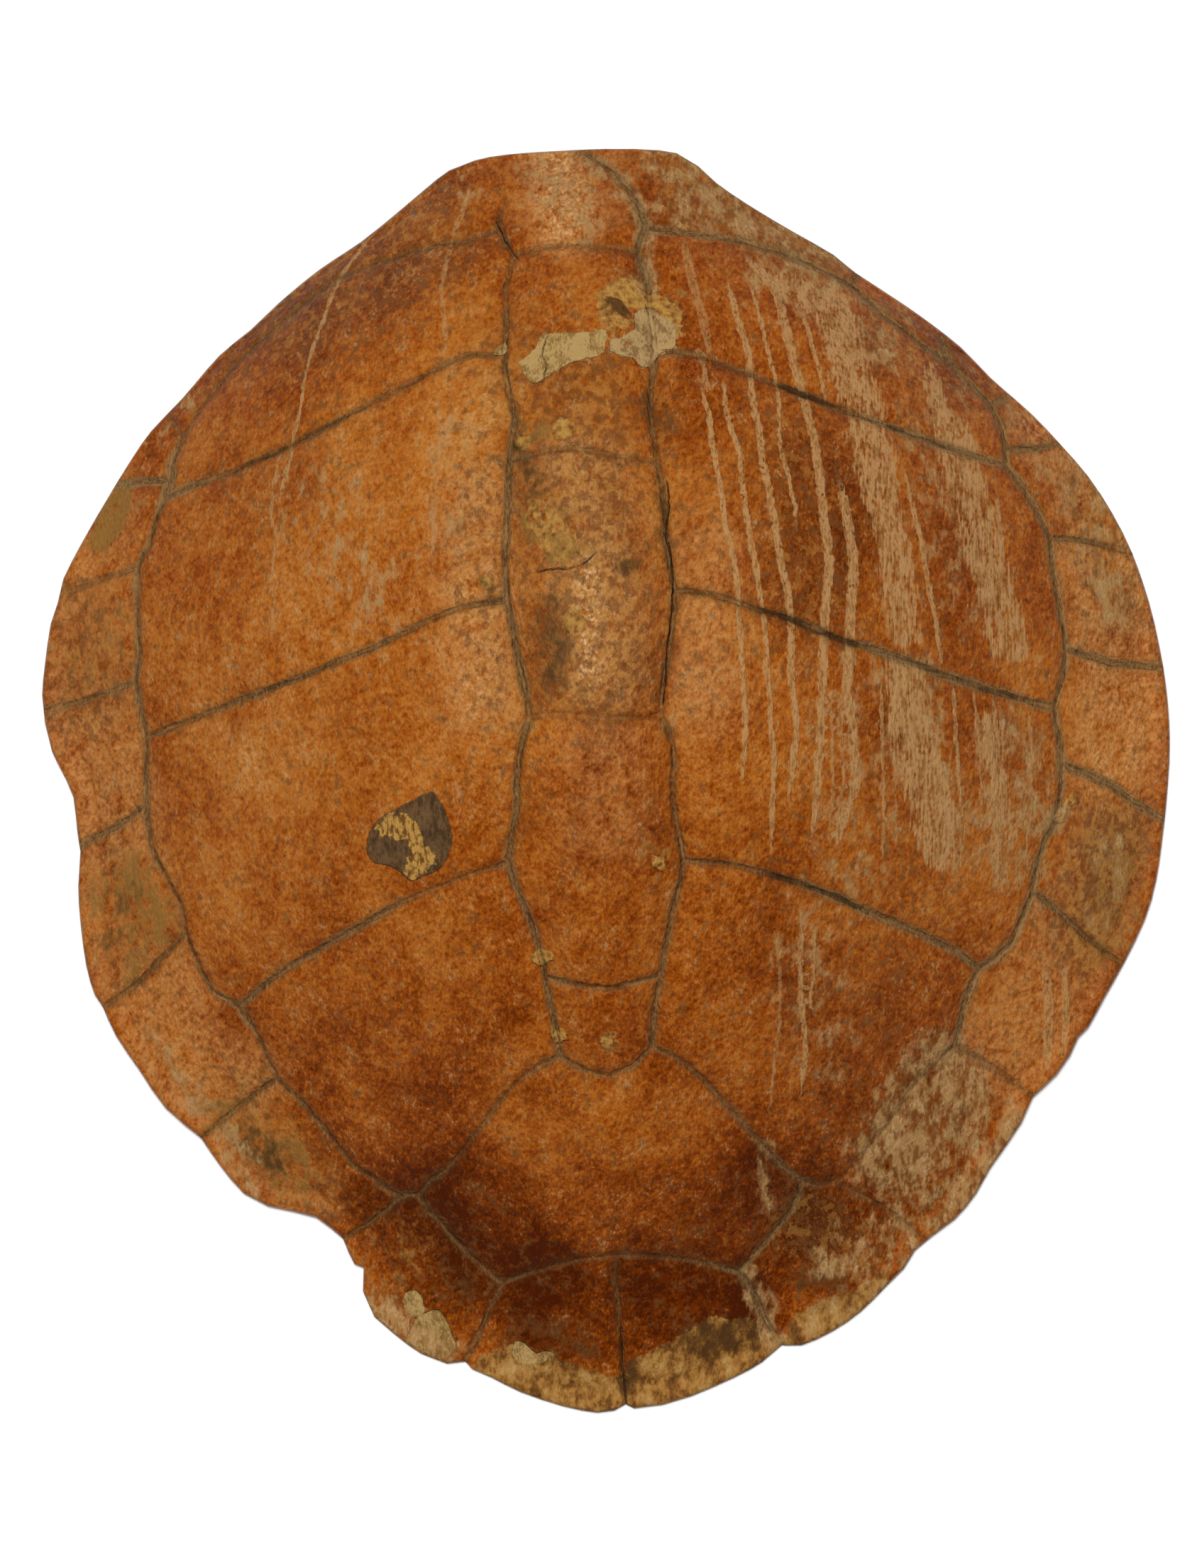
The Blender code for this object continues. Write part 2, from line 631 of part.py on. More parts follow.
def carapace_mesh():
    """One closed mesh: upper face, rounded free edge and under face."""
    top_ring = inward(OUTLINE, RIM_INSET)
    under_ring = inward(OUTLINE, RIM_INSET * 1.2)
    top, faces = top_face(top_ring)
    under, under_faces = under_face(under_ring)
    count = len(OUTLINE)
    edge_bearing = np.arctan2(OUTLINE[:, 0], OUTLINE[:, 1] - APEX_Y)
    middle = rim_lift(edge_bearing) + RIM_THICKNESS * 0.5
    rings = (
        np.column_stack([top_ring, top_height(top_ring)]),
        np.column_stack([OUTLINE, middle]),
        np.column_stack([under_ring, under_height(under_ring)]),
    )
    centre = np.append((OUTLINE.min(axis=0) + OUTLINE.max(axis=0)) / 2, 0)
    body = bmesh.new()
    for coords, tris, flip in ((top, faces, False), (under, under_faces, True)):
        verts = [body.verts.new(Vector(c - centre) * MM) for c in coords]
        for tri in tris:
            corners = [verts[i] for i in tri]
            body.faces.new(corners[::-1] if flip else corners)
    loops = [[body.verts.new(Vector(c - centre) * MM) for c in ring] for ring in rings]
    for upper, lower in zip(loops, loops[1:]):
        for i in range(count):
            j = (i + 1) % count
            body.faces.new((upper[i], lower[i], lower[j], upper[j]))
    bmesh.ops.remove_doubles(body, verts=body.verts, dist=0.00002)
    bmesh.ops.triangulate(body, faces=body.faces)
    bmesh.ops.recalc_face_normals(body, faces=body.faces)
    mesh = bpy.data.meshes.new("carapace")
    body.to_mesh(mesh)
    body.free()
    return mesh


def shell_material():
    material = bpy.data.materials.new("horn")
    material.use_nodes = True
    shader = material.node_tree.nodes["Principled BSDF"]
    shader.inputs["Base Color"].default_value = (0.36, 0.13, 0.035, 1)
    shader.inputs["Roughness"].default_value = 0.45
    shader.inputs["Metallic"].default_value = 0.0
    return material


def main():
    for item in list(bpy.data.objects):
        bpy.data.objects.remove(item)
    mesh = carapace_mesh()
    shell = bpy.data.objects.new("carapace", mesh)
    bpy.context.scene.collection.objects.link(shell)
    mesh.materials.append(shell_material())
    mesh.shade_smooth()
    mesh.set_sharp_from_angle(angle=math.radians(40))


main()
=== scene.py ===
"""The look of the sea turtle shell: its finely modelled horn, its finishes, the floor and the light."""

import json
import logging
import math
from collections.abc import Callable, Sequence
from dataclasses import dataclass, field
from enum import Enum

import bpy
import numpy as np
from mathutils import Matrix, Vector
from mathutils.noise import noise

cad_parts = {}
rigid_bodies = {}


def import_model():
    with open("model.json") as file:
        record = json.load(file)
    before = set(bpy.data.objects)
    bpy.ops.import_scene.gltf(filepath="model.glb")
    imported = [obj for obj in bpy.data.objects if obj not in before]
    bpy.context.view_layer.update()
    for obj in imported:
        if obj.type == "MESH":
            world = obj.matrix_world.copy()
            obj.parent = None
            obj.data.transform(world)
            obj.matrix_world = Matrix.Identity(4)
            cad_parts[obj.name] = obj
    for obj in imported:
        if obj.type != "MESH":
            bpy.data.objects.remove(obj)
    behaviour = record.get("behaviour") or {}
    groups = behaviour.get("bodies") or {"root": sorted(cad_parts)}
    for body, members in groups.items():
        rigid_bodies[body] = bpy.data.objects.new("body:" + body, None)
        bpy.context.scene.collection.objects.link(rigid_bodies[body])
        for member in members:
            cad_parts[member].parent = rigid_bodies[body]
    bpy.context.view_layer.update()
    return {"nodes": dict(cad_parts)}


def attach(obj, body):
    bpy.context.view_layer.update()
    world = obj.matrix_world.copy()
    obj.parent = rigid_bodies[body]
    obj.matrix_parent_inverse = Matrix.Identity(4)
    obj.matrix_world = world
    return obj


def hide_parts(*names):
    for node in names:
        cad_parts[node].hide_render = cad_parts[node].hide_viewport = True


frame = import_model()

log = logging.getLogger("sea_turtle_shell")

MM = 0.001
TINY = 1e-9

Point = tuple[float, float]
Line = tuple[Point, ...]
Span = tuple[float, float]
Colour = tuple[float, float, float]
Stops = tuple[tuple[float, Colour], ...]
Socket = bpy.types.NodeSocket
Value = Socket | float
Tint = Socket | Colour

# Free edge in plan, in millimetres, from the middle of the head end back along each side
LEFT_EDGE: Line = (
    (0, 444), (-35, 442.5), (-70, 440), (-92, 436), (-110, 429), (-128, 415), (-147, 399), (-172, 379),
    (-202, 359), (-230, 336), (-250, 317), (-272, 299), (-298, 269), (-320, 246), (-334, 226),
    (-350, 200), (-368, 169), (-382, 142), (-386, 125), (-391, 110), (-395, 82), (-397, 60), (-395, 40),
    (-390, 20), (-380, 0), (-375, -12), (-372, -38), (-370, -50), (-371.5, -75), (-370, -100),
    (-366, -130), (-360, -151), (-354, -160), (-345, -180), (-328, -205), (-310, -231), (-285, -252),
    (-272, -271), (-255, -291), (-238, -300), (-219, -304), (-204, -308), (-185, -323), (-181, -333),
    (-177, -341), (-170.5, -343.5), (-171, -360), (-163, -378), (-148, -391), (-130, -404),
    (-112, -411), (-99, -409.5), (-94, -415), (-80, -421), (-60, -431), (-30, -441), (-6, -445.5),
    (6, -444), (14, -439.5),
)
RIGHT_EDGE: Line = (
    (0, 444), (20, 444), (38, 443), (50, 441), (65, 432), (78, 420), (100, 405), (130, 387), (160, 370),
    (176, 357), (190, 348), (220, 328), (250, 305), (271, 283.5), (300, 258), (320, 237), (340, 214),
    (357, 188), (371, 160), (383, 125), (390, 95), (395, 65), (397.5, 30), (396, -5), (393, -35),
    (388, -70), (380, -98), (365, -129), (352, -152), (340, -174), (333, -181), (327, -194),
    (318, -207), (301, -223), (293, -241), (283, -256), (271, -273), (261, -291), (246, -309),
    (230, -321), (218, -331), (210, -344), (197, -357), (180, -374), (160, -388), (138, -398),
    (124, -398), (110, -410), (90, -421), (60, -434), (40, -440), (20, -442.5), (14, -439.5),
)
# Points of the free edge that keep a corner
NOTCHES: Line = (
    (176, 357), (333, -181), (301, -223), (124, -398), (14, -439.5), (-99, -409.5), (-170.5, -343.5),
    (-185, -323), (-285, -252), (-354, -160), (-386, 125),
)

# Seams between scutes in plan
VERTEBRAL_LEFT: Line = (
    (-80, 437.5), (-71, 410), (-76, 386), (-64.5, 368.5), (-70, 345), (-69, 319), (-71, 296),
    (-70, 280), (-63, 252), (-67, 222), (-68, 190), (-70, 160), (-68, 125), (-61, 84), (-55, 60),
    (-53, 44), (-60, 18), (-63, -30), (-68, -58), (-57, -88), (-48, -113), (-42, -137), (-37, -165),
    (-31.5, -192.5),
)
VERTEBRAL_RIGHT: Line = (
    (-14, 441), (6, 427), (19, 412), (28, 388), (21, 370.5), (28, 353), (31, 330), (34, 299), (31, 262),
    (36, 222), (41, 190), (43, 160), (48, 132), (45, 98), (41, 72), (38, 46), (47, 24), (47, -14),
    (54, -56), (50, -78), (43, -108), (39, -135), (34, -160), (32, -186),
)
TAIL_LEFT: Line = (
    (-31.5, -192.5), (-50, -202), (-68, -217), (-86, -242), (-97, -257), (-112, -273), (-131, -291),
    (-118, -309), (-98, -331), (-73, -353.5),
)
TAIL_RIGHT: Line = (
    (32, -186), (57, -199), (75, -217), (90, -233), (112, -259), (125, -272), (137, -281), (130, -303),
    (112, -324), (94, -346),
)
VERTEBRAL_CROSS: tuple[Line, ...] = (
    ((-64.5, 368.5), (-45, 372.5), (-20, 374.5), (0, 373), (21, 370.5)),
    ((-67, 222), (-45, 228), (-20, 231), (5, 225), (36, 222)),
    ((-53, 44), (-30, 46), (0, 43), (20, 43), (38, 46)),
    ((-42, -137), (-22, -142), (0, -145), (20, -141), (39, -135)),
    ((-31.5, -192.5), (-18, -201), (3, -206.5), (20, -199), (32, -186)),
    ((-73, -353.5), (-52, -346), (-28, -339), (8, -333.5), (45, -335.5), (72, -340), (94, -346)),
)
MARGINAL_LEFT: Line = (
    (-76, 386), (-97, 378), (-120, 375), (-147, 367), (-180, 357), (-198, 346), (-219, 328.5),
    (-245, 307), (-266, 285), (-285, 262), (-297, 241), (-304, 226), (-306, 211), (-310, 199),
    (-317, 180), (-322, 163), (-329, 149), (-329, 115), (-328, 90), (-331, 68.5), (-327, 50),
    (-323, 30), (-324, 0), (-323, -17.5), (-320, -45), (-310, -66), (-299, -87), (-295, -107.5),
    (-286, -129), (-276, -149), (-257, -159), (-242, -185), (-231, -210), (-214, -226), (-199, -243),
    (-181, -267), (-163, -280), (-144, -293), (-131, -291),
)
MARGINAL_RIGHT: Line = (
    (28, 388), (60, 383), (82, 381), (108, 374), (133, 367), (155, 357), (173, 347.5), (196, 326.5),
    (220, 308), (242, 294), (256, 279), (271, 263.5), (279, 246), (281, 232.5), (281.5, 221),
    (292, 207), (303, 190), (312, 170), (314, 149), (319, 120), (324, 91.5), (322, 72), (315, 51),
    (320, 27), (320.5, 11), (318, -22), (304, -55), (300, -78), (292, -97), (284, -116), (263, -132.5),
    (252, -156), (246, -186), (222, -208), (208, -229), (194, -248), (174, -271), (163, -282),
    (150, -285), (137, -281),
)
MARGINAL_CROSS: tuple[Line, ...] = (
    ((-219, 328.5), (-225, 341)),
    ((-266, 285), (-263, 306)),
    ((-297, 241), (-309, 258)),
    ((-306, 211), (-330, 210), (-345, 209)),
    ((-329, 149), (-345, 145), (-365, 137), (-384, 132)),
    ((-331, 68.5), (-350, 62), (-370, 55), (-396, 49)),
    ((-323, -17.5), (-335, -26), (-350, -36), (-370, -46)),
    ((-295, -107.5), (-315, -128), (-328, -142), (-354, -160)),
    ((-231, -210), (-247, -221), (-262, -233), (-285, -252)),
    ((-144, -293), (-152, -301), (-165, -311), (-185, -323)),
    ((-73, -353.5), (-81, -369), (-88, -388), (-99, -409.5)),
    ((173, 347.5), (176, 357)),
    ((242, 294), (236, 312)),
    ((271, 263.5), (283, 270)),
    ((281, 232.5), (300, 233), (320, 237)),
    ((312, 170), (335, 169), (352, 165), (371, 160)),
    ((324, 91.5), (340, 87), (356, 82), (393, 79)),
    ((320.5, 11), (336, 6), (352, -2), (370, -14), (393, -27)),
    ((300, -78), (314, -89), (328, -101), (342, -114), (363, -129)),
    ((246, -186), (262, -195), (283, -209), (301, -223)),
    ((163, -282), (182, -294), (201, -304), (225, -325)),
    ((94, -346), (104, -360), (112, -379), (124, -398)),
    ((8, -333.5), (6, -350), (9, -368), (11, -390), (12, -412), (14, -439.5)),
)
COSTAL_CROSS: tuple[Line, ...] = (
    ((-71, 296), (-96, 297), (-120, 286), (-147, 272), (-180, 255), (-218, 235), (-250, 221),
     (-280, 210), (-310, 199)),
    ((-68, 125), (-90, 122), (-112, 116), (-147, 99), (-180, 85), (-215, 71), (-242, 61), (-283, 45),
     (-323, 30)),
    ((-68, -58), (-92, -65), (-118, -75), (-147, -88), (-180, -107), (-200, -118), (-228, -135),
     (-257, -159)),
    ((34, 299), (58, 298), (82, 290), (108, 281), (133, 271), (160, 261), (188, 251), (216, 241),
     (250, 230), (281.5, 221)),
    ((48, 132), (75, 129), (102, 120), (133, 110), (160, 99), (195, 89), (220, 80), (243, 71),
     (280, 60), (315, 51)),
    ((54, -56), (82, -58), (108, -64), (133, -71), (158, -81), (192, -95), (228, -111), (248, -121),
     (263, -132.5)),
)

# Areas in plan where the horny layer has come away or changed, by their outlines
PEELED: tuple[Line, ...] = (
    ((-45, 312), (-25, 312), (-10, 314), (-1, 319), (1, 309), (-2, 297), (-24, 291), (-36, 284),
     (-50, 276), (-58, 284), (-64, 293), (-53, 296)),
    ((2, 309), (19, 312), (20, 327), (33, 330), (40, 322), (47, 320), (49, 303), (39, 299), (31, 288),
     (22, 289), (19, 294), (3, 299)),
)
BARE_BONE: tuple[Line, ...] = (
    PEELED[0],
    ((-79, 297), (-76, 303), (-71, 305), (-67, 303), (-69, 298), (-75, 296)),
    ((-143, -362), (-135, -358), (-128, -365), (-128, -375), (-135, -378), (-142, -370)),
    ((-133, -378), (-120, -372), (-112, -380), (-108, -390), (-105, -400), (-115, -408), (-130, -403),
     (-140, -395), (-138, -388)),
    ((-66, -403), (-63, -395), (-56, -397), (-49, -404), (-42, -401), (-36, -404), (-40, -409),
     (-52, -411), (-62, -409)),
)
WORN_EDGE: tuple[Line, ...] = (
    ((-94, -420), (-88, -405), (-65, -398), (-62, -394), (-55, -397), (-48, -404), (-42, -401),
     (-36, -403), (-30, -407), (-22, -411), (-12, -415), (-4, -416), (4, -420), (14, -416), (20, -408),
     (30, -403), (40, -398), (50, -392), (60, -386), (68, -380), (78, -377), (88, -380), (97, -378),
     (105, -382), (112, -386), (126, -398), (90, -440), (0, -460), (-60, -445)),
    ((126, -392), (132, -378), (150, -368), (170, -362), (186, -352), (200, -350), (190, -385),
     (140, -410)),
)
LIFTED_SCALE: Line = (
    (-167, -48), (-164, -35), (-158, -27), (-140, -17), (-125, -9), (-118, -9), (-113, -18),
    (-108, -32), (-107, -42), (-109, -52), (-117, -63), (-126, -66), (-136, -71), (-141, -66),
    (-150, -60), (-163, -57),
)
SCALE_GOLD: Line = (
    (-160, -30), (-145, -22), (-137, -24), (-130, -32), (-127, -42), (-120, -50), (-122, -60),
    (-135, -70), (-141, -64), (-137, -54), (-135, -45), (-146, -40), (-158, -40),
)
OCHRE_AREAS: tuple[Line, ...] = (
    ((-349, 200), (-334, 214), (-333, 200), (-337, 182), (-346, 168), (-356, 160), (-365, 163),
     (-362, 175), (-357, 190)),
)


@dataclass(frozen=True)
class Stroke:
    """A band along a line in plan, or a round spot where it has one point, in millimetres."""

    half: float
    feather: float
    strength: float
    points: Line


@dataclass(frozen=True)
class Run:
    """A narrow dried run of muddy water; runs side by side take opposite signs."""

    half: float
    sign: int
    strength: float
    points: Line


class Field(Enum):
    """The values stored on each vertex, by the name that the finishes read."""

    SEAM = "seam"
    SEAM_SIDE = "seam_side"
    SEAM_ALONG = "seam_along"
    SEAM_FAINT = "seam_faint"
    SEAM_DUST = "seam_dust"
    SEAM_DARK = "seam_dark"
    RIM = "rim"
    RUN = "run"
    RUN_HALF = "run_half"
    RUN_NEAR = "run_near"
    CRACK = "crack"
    CRACK_NEAR = "crack_near"
    BONE = "bone"
    GREY = "grey"
    WORN = "worn"
    SCALE = "scale"
    GOLD = "gold"
    OCHRE = "ochre"
    STAIN = "stain"
    DUST = "dust"
    WASH = "wash"
    CRUST = "crust"
    TONE = "tone"
    PATINA = "patina"
    SCUFF = "scuff"
    PAINTED_HIGHLIGHT = "painted_highlight"


def strokes(*rows: tuple) -> tuple[Stroke, ...]:
    """Strokes from rows of half width, feather, strength and then the points."""
    return tuple(Stroke(half, feather, strength, tuple(points)) for half, feather, strength, *points in rows)


# Dried runs of muddy water, washes of it, and cracks
RUNS: tuple[Run, ...] = (
    Run(2, 1, 1, ((66, 275), (72, 255), (74, 235), (80, 205), (82, 185), (86, 165), (90, 150),
        (92, 128), (93, 105), (95, 80), (96, 60), (97, 40), (96, 20), (95, -5))),
    Run(2, -1, 1, ((82, 280), (85, 255), (89, 240), (94, 225), (95, 205), (98, 185), (101, 165),
        (105, 145), (107, 130), (111, 105), (112, 80), (114, 60), (115, 35), (117, 15), (116, -20),
        (115, -52))),
    Run(2.5, 1, 1, ((85, 352), (90, 330), (95, 315), (99, 300), (101, 288), (103, 262), (107, 245),
        (109, 225), (113, 205), (117, 185), (120, 165), (123, 145), (127, 130), (129, 100), (129, 75),
        (131, 55), (133, 35), (130, 10), (128, -10), (127, -22))),
    Run(1.4, -1, 1, ((103, 342), (108, 325), (112, 305), (117, 288), (121, 262), (121, 240), (125, 220),
        (130, 200), (133, 178))),
    Run(3.2, 1, 1, ((95, 370), (118, 345), (125, 320), (130, 300), (135, 280), (140, 260), (145, 240),
        (148, 220), (150, 205), (151, 190), (154, 170), (156, 150), (154, 130), (153, 115), (152, 95),
        (151, 75), (150, 40), (148, 10), (146, -20), (143, -44))),
    Run(1.6, -1, 1, ((140, 322), (146, 300), (150, 285), (153, 268))),
    Run(3.6, -1, 1, ((163, 208), (168, 185), (171, 165), (173, 150), (171, 120), (170, 90), (168, 60),
        (172, 30), (175, 0), (168, -20), (160, -48))),
    Run(1.7, 1, 1, ((210, 212), (216, 185), (221, 165), (224, 145), (228, 125), (232, 100), (234, 82))),
    Run(1.4, 1, 1, ((275, 194), (278, 162))),
    Run(3.2, -1, 0.55, ((56, 372), (62, 345), (68, 322), (72, 302))),
    Run(1.8, -1, 0.8, ((66, 296), (69, 286), (71, 276))),
    Run(1.1, -1, 0.65, ((157, 52), (158, 20), (158, -10), (156, -36))),
    Run(1.2, 1, 0.65, ((163, 58), (164, 30), (166, 5), (163, -20))),
    Run(1.3, 1, 0.8, ((192, 62), (193, 20), (194, -20), (193, -55))),
    Run(1, -1, 0.65, ((201, 42), (202, 0), (203, -38))),
    Run(1.6, 1, 1, ((243, 62), (246, 20), (248, -12))),
    Run(1.2, -1, 0.7, ((258, 58), (261, 25), (262, 0), (264, -25))),
    Run(1.1, -1, 0.7, ((297, 44), (299, 10), (298, -24), (295, -52))),
    Run(2.8, 1, 1, ((268, 40), (272, 0), (274, -30), (276, -68))),
    Run(1.9, 1, 0.95, ((137, -100), (136, -130), (137, -160), (140, -185), (137, -218))),
    Run(1.4, -1, 0.9, ((146, -108), (145, -130), (143, -155))),
    Run(1.3, -1, 0.6, ((120, -110), (122, -160), (118, -200), (115, -228))),
    Run(1.3, 1, 1, ((-165, 382), (-182, 360), (-192, 340), (-200, 318), (-206, 300), (-211, 280),
        (-214, 260), (-218, 240), (-222, 220), (-228, 198))),
    Run(1.1, -1, 0.7, ((-226, 236), (-232, 210), (-234, 183), (-230, 168), (-233, 150), (-232, 125),
        (-235, 98))),
    Run(1.6, 1, 0.65, ((-97, 412), (-102, 395), (-110, 370), (-115, 345), (-113, 325), (-112, 305))),
    Run(1.2, 1, 0.5, ((-117, 262), (-117, 230), (-118, 205), (-120, 175), (-121, 148))),
    Run(3.4, 1, 0.85, ((310, -138), (312, -165), (311, -198))),
    Run(2.6, -1, 0.75, ((323, -136), (324, -160), (323, -190))),
)
WASHES = strokes(
    (13, 3, 1, (160, 330), (168, 300), (180, 262), (188, 225), (193, 195)),
    (11, 3, 1, (193, 195), (200, 160), (205, 130), (209, 104)),
    (5.5, 3, 1, (226, 284), (231, 270), (242, 245)),
    (13, 3, 1, (242, 245), (252, 210), (260, 185), (267, 155), (275, 125), (284, 95)),
    (15, 3, 1, (207, 72), (212, 40), (219, 5), (229, -25), (237, -48)),
    (8, 3, 1, (268, 38), (273, 5), (279, -40)),
    (6, 3, 1, (118, 352), (140, 340), (160, 322)),
)
CRACKS: tuple[Line, ...] = (
    ((-42, 307), (-44, 300), (-45, 296), (-41, 290), (-42, 285)),
    ((43, 204), (44, 190), (42, 172), (46, 150), (47, 128), (44, 100), (42, 78), (40, 58)),
    ((-45, 145), (-34, 147), (-25, 147), (-16, 150), (-10, 155)),
    ((11, -388), (12, -412), (14, -434)),
    ((-74, 386), (-71, 378), (-64, 369)),
)

# Stretches of the seams that are dusty, that hardly show and that are black
SEAM_DUSTY = strokes(
    (40, 25, 0.45, (60, 383), (120, 372)),
    (50, 20, 0.4, (150, 355), (240, 290), (290, 220)),
    (26, 14, 0.55, (300, 200), (320, 110), (320, 40), (318, -40)),
    (30, 14, 0.7, (300, -70), (262, -140), (246, -186)),
    (26, 14, 0.3, (230, -205), (170, -275)),
    (20, 15, 0.7, (200, 248), (270, 225)),
    (20, 12, 0.7, (190, 90), (300, 58)),
    (20, 10, 0.8, (330, 5), (385, -22)),
    (20, 10, 0.6, (330, 87), (385, 80)),
    (16, 15, 0.6, (150, -75), (250, -125)),
    (25, 15, 0.3, (90, -235), (135, -285), (95, -345), (115, -390)),
    (16, 15, 0.4, (-45, -125), (-35, -190)),
    (16, 15, 0.3, (50, -60), (40, -140), (33, -186)),
    (20, 15, 0.45, (-150, -90), (-220, -130), (-260, -160)),
    (20, 15, 0.35, (-150, 97), (-260, 55)),
    (26, 12, 0.8, (-306, 211), (-345, 209)),
    (20, 10, 0.5, (-330, 68), (-390, 50)),
    (22, 10, 0.5, (-335, 148), (-384, 134)),
    (20, 10, 0.5, (-318, -8), (-365, -38)),
    (20, 10, 0.4, (-318, 40), (-322, 120)),
    (18, 12, 0.5, (-68, 240), (-68, 130), (-55, 44)),
    (16, 12, 0.5, (-62, -5), (-66, -60), (-56, -105)),
    (16, 10, 0.5, (28, 388), (31, 330), (34, 300)),
)
SEAM_FAINTER = strokes(
    (12, 8, 0.85, (-82, 440), (-74, 412)),
    (10, 8, 0.35, (-66, 366), (-70, 335)),
    (18, 8, 0.25, (-100, 378), (-180, 357), (-245, 307), (-290, 255)),
    (10, 6, 0.4, (-222, 340), (-219, 326)),
    (14, 9, 0.75, (-40, 45), (26, 44)),
    (12, 9, 0.45, (-50, 229), (24, 226)),
    (12, 8, 0.35, (-50, 372), (10, 373)),
    (14, 10, 0.35, (-90, -64), (-130, -82)),
    (14, 9, 0.7, (228, -205), (200, -245), (160, -285)),
    (14, 8, 0.5, (170, -286), (225, -325)),
    (12, 8, 0.4, (256, -190), (301, -223)),
    (14, 9, 0.45, (-50, -346), (60, -337)),
    (14, 9, 0.3, (-45, -210), (-115, -280), (-75, -354)),
    (14, 9, 0.3, (40, -200), (100, -260)),
    (14, 9, 0.4, (8, -345), (12, -425)),
    (12, 8, 0.5, (-345, 145), (-384, 132)),
    (12, 8, 0.3, (-350, 62), (-396, 49)),
)
SEAM_BLACK = strokes(
    (6, 8, 0.8, (-190, 250), (-212, 240)),
    (6, 8, 0.7, (-228, 231), (-250, 222)),
    (9, 10, 0.6, (-238, 62), (-218, 70)),
    (8, 8, 1, (128, 273), (158, 262)),
    (10, 10, 0.6, (205, 246), (235, 236)),
    (10, 12, 1, (112, 117), (170, 97)),
    (12, 12, 0.7, (215, 82), (280, 60)),
    (12, 12, 0.8, (120, -68), (165, -84)),
    (14, 14, 0.55, (43, 215), (43, 170)),
    (7, 5, 0.9, (157, -80), (172, -88)),
)

# Dark and ochre stains, dust, crust and a brown and gold patina
STAINS = strokes(
    (4.5, 1.6, 2.4, (6, 334), (7, 329)),
    (14, 14, 0.55, (-62, 232), (-46, 198)),
    (10, 8, 0.6, (20, 262), (38, 250)),
    (6, 5, 0.8, (10, 238)),
    (11, 9, 0.75, (-42, 118), (-30, 92), (-38, 66)),
    (5, 3, 1, (11, 148), (20, 149)),
    (14, 10, 0.3, (-50, 170), (-20, 150)),
    (9, 9, 0.45, (-40, 196), (-30, 180)),
    (30, 22, 0.2, (-95, -310), (-70, -270)),
    (26, 20, 0.25, (95, -300), (60, -320)),
    (10, 12, 0.75, (-335, -85)),
    (12, 12, 0.55, (-350, -112)),
    (12, 14, 0.8, (-250, -252), (-236, -268)),
    (5, 5, 0.9, (252, -230), (243, -250)),
    (4, 4, 0.7, (224, -302), (234, -288)),
    (5, 6, 0.45, (203, -226), (198, -262)),
    (10, 8, 0.8, (138, -352), (160, -352)),
    (10, 8, 0.6, (-110, -340), (-98, -360)),
    (16, 9, 0.5, (-60, -388), (-20, -398)),
    (13, 10, 0.85, (62, -395), (100, -392)),
    (6, 4, 0.9, (20, -412), (16, -424)),
    (5, 4, 0.7, (-6, -404), (-30, -398)),
    (5, 3, 1, (12, -428)),
    (5, 5, 0.4, (-184, 40)),
    (6, 5, 0.55, (-86, 140), (-80, 128)),
    (12, 10, 0.35, (345, -75), (360, -95)),
    (7, 8, 0.6, (-195, -310)),
)
OCHRES = strokes(
    (18, 16, 0.85, (-335, -68), (-315, -105)),
    (24, 16, 0.5, (-350, -80), (-345, -125)),
    (12, 9, 0.8, (-50, 178), (-30, 160)),
    (9, 7, 0.7, (-60, 238), (-30, 246)),
    (5, 4, 0.45, (-62, 100), (-58, 60), (-54, 40)),
    (12, 8, 0.4, (-62, -30), (-66, -60)),
    (12, 8, 0.55, (40, -42), (36, -60)),
    (26, 22, 0.4, (-355, 110), (-365, 75)),
    (26, 20, 0.35, (-355, 185), (-345, 200)),
    (24, 16, 0.5, (365, -60), (355, -110)),
    (22, 16, 0.55, (-265, -235), (-215, -280)),
    (20, 16, 0.4, (-140, -330), (-165, -350)),
    (6, 3, 0.9, (1.5, -181.5)),
    (24, 16, 0.35, (5, 345), (50, 330)),
    (24, 14, 0.35, (258, -285), (222, -322)),
)
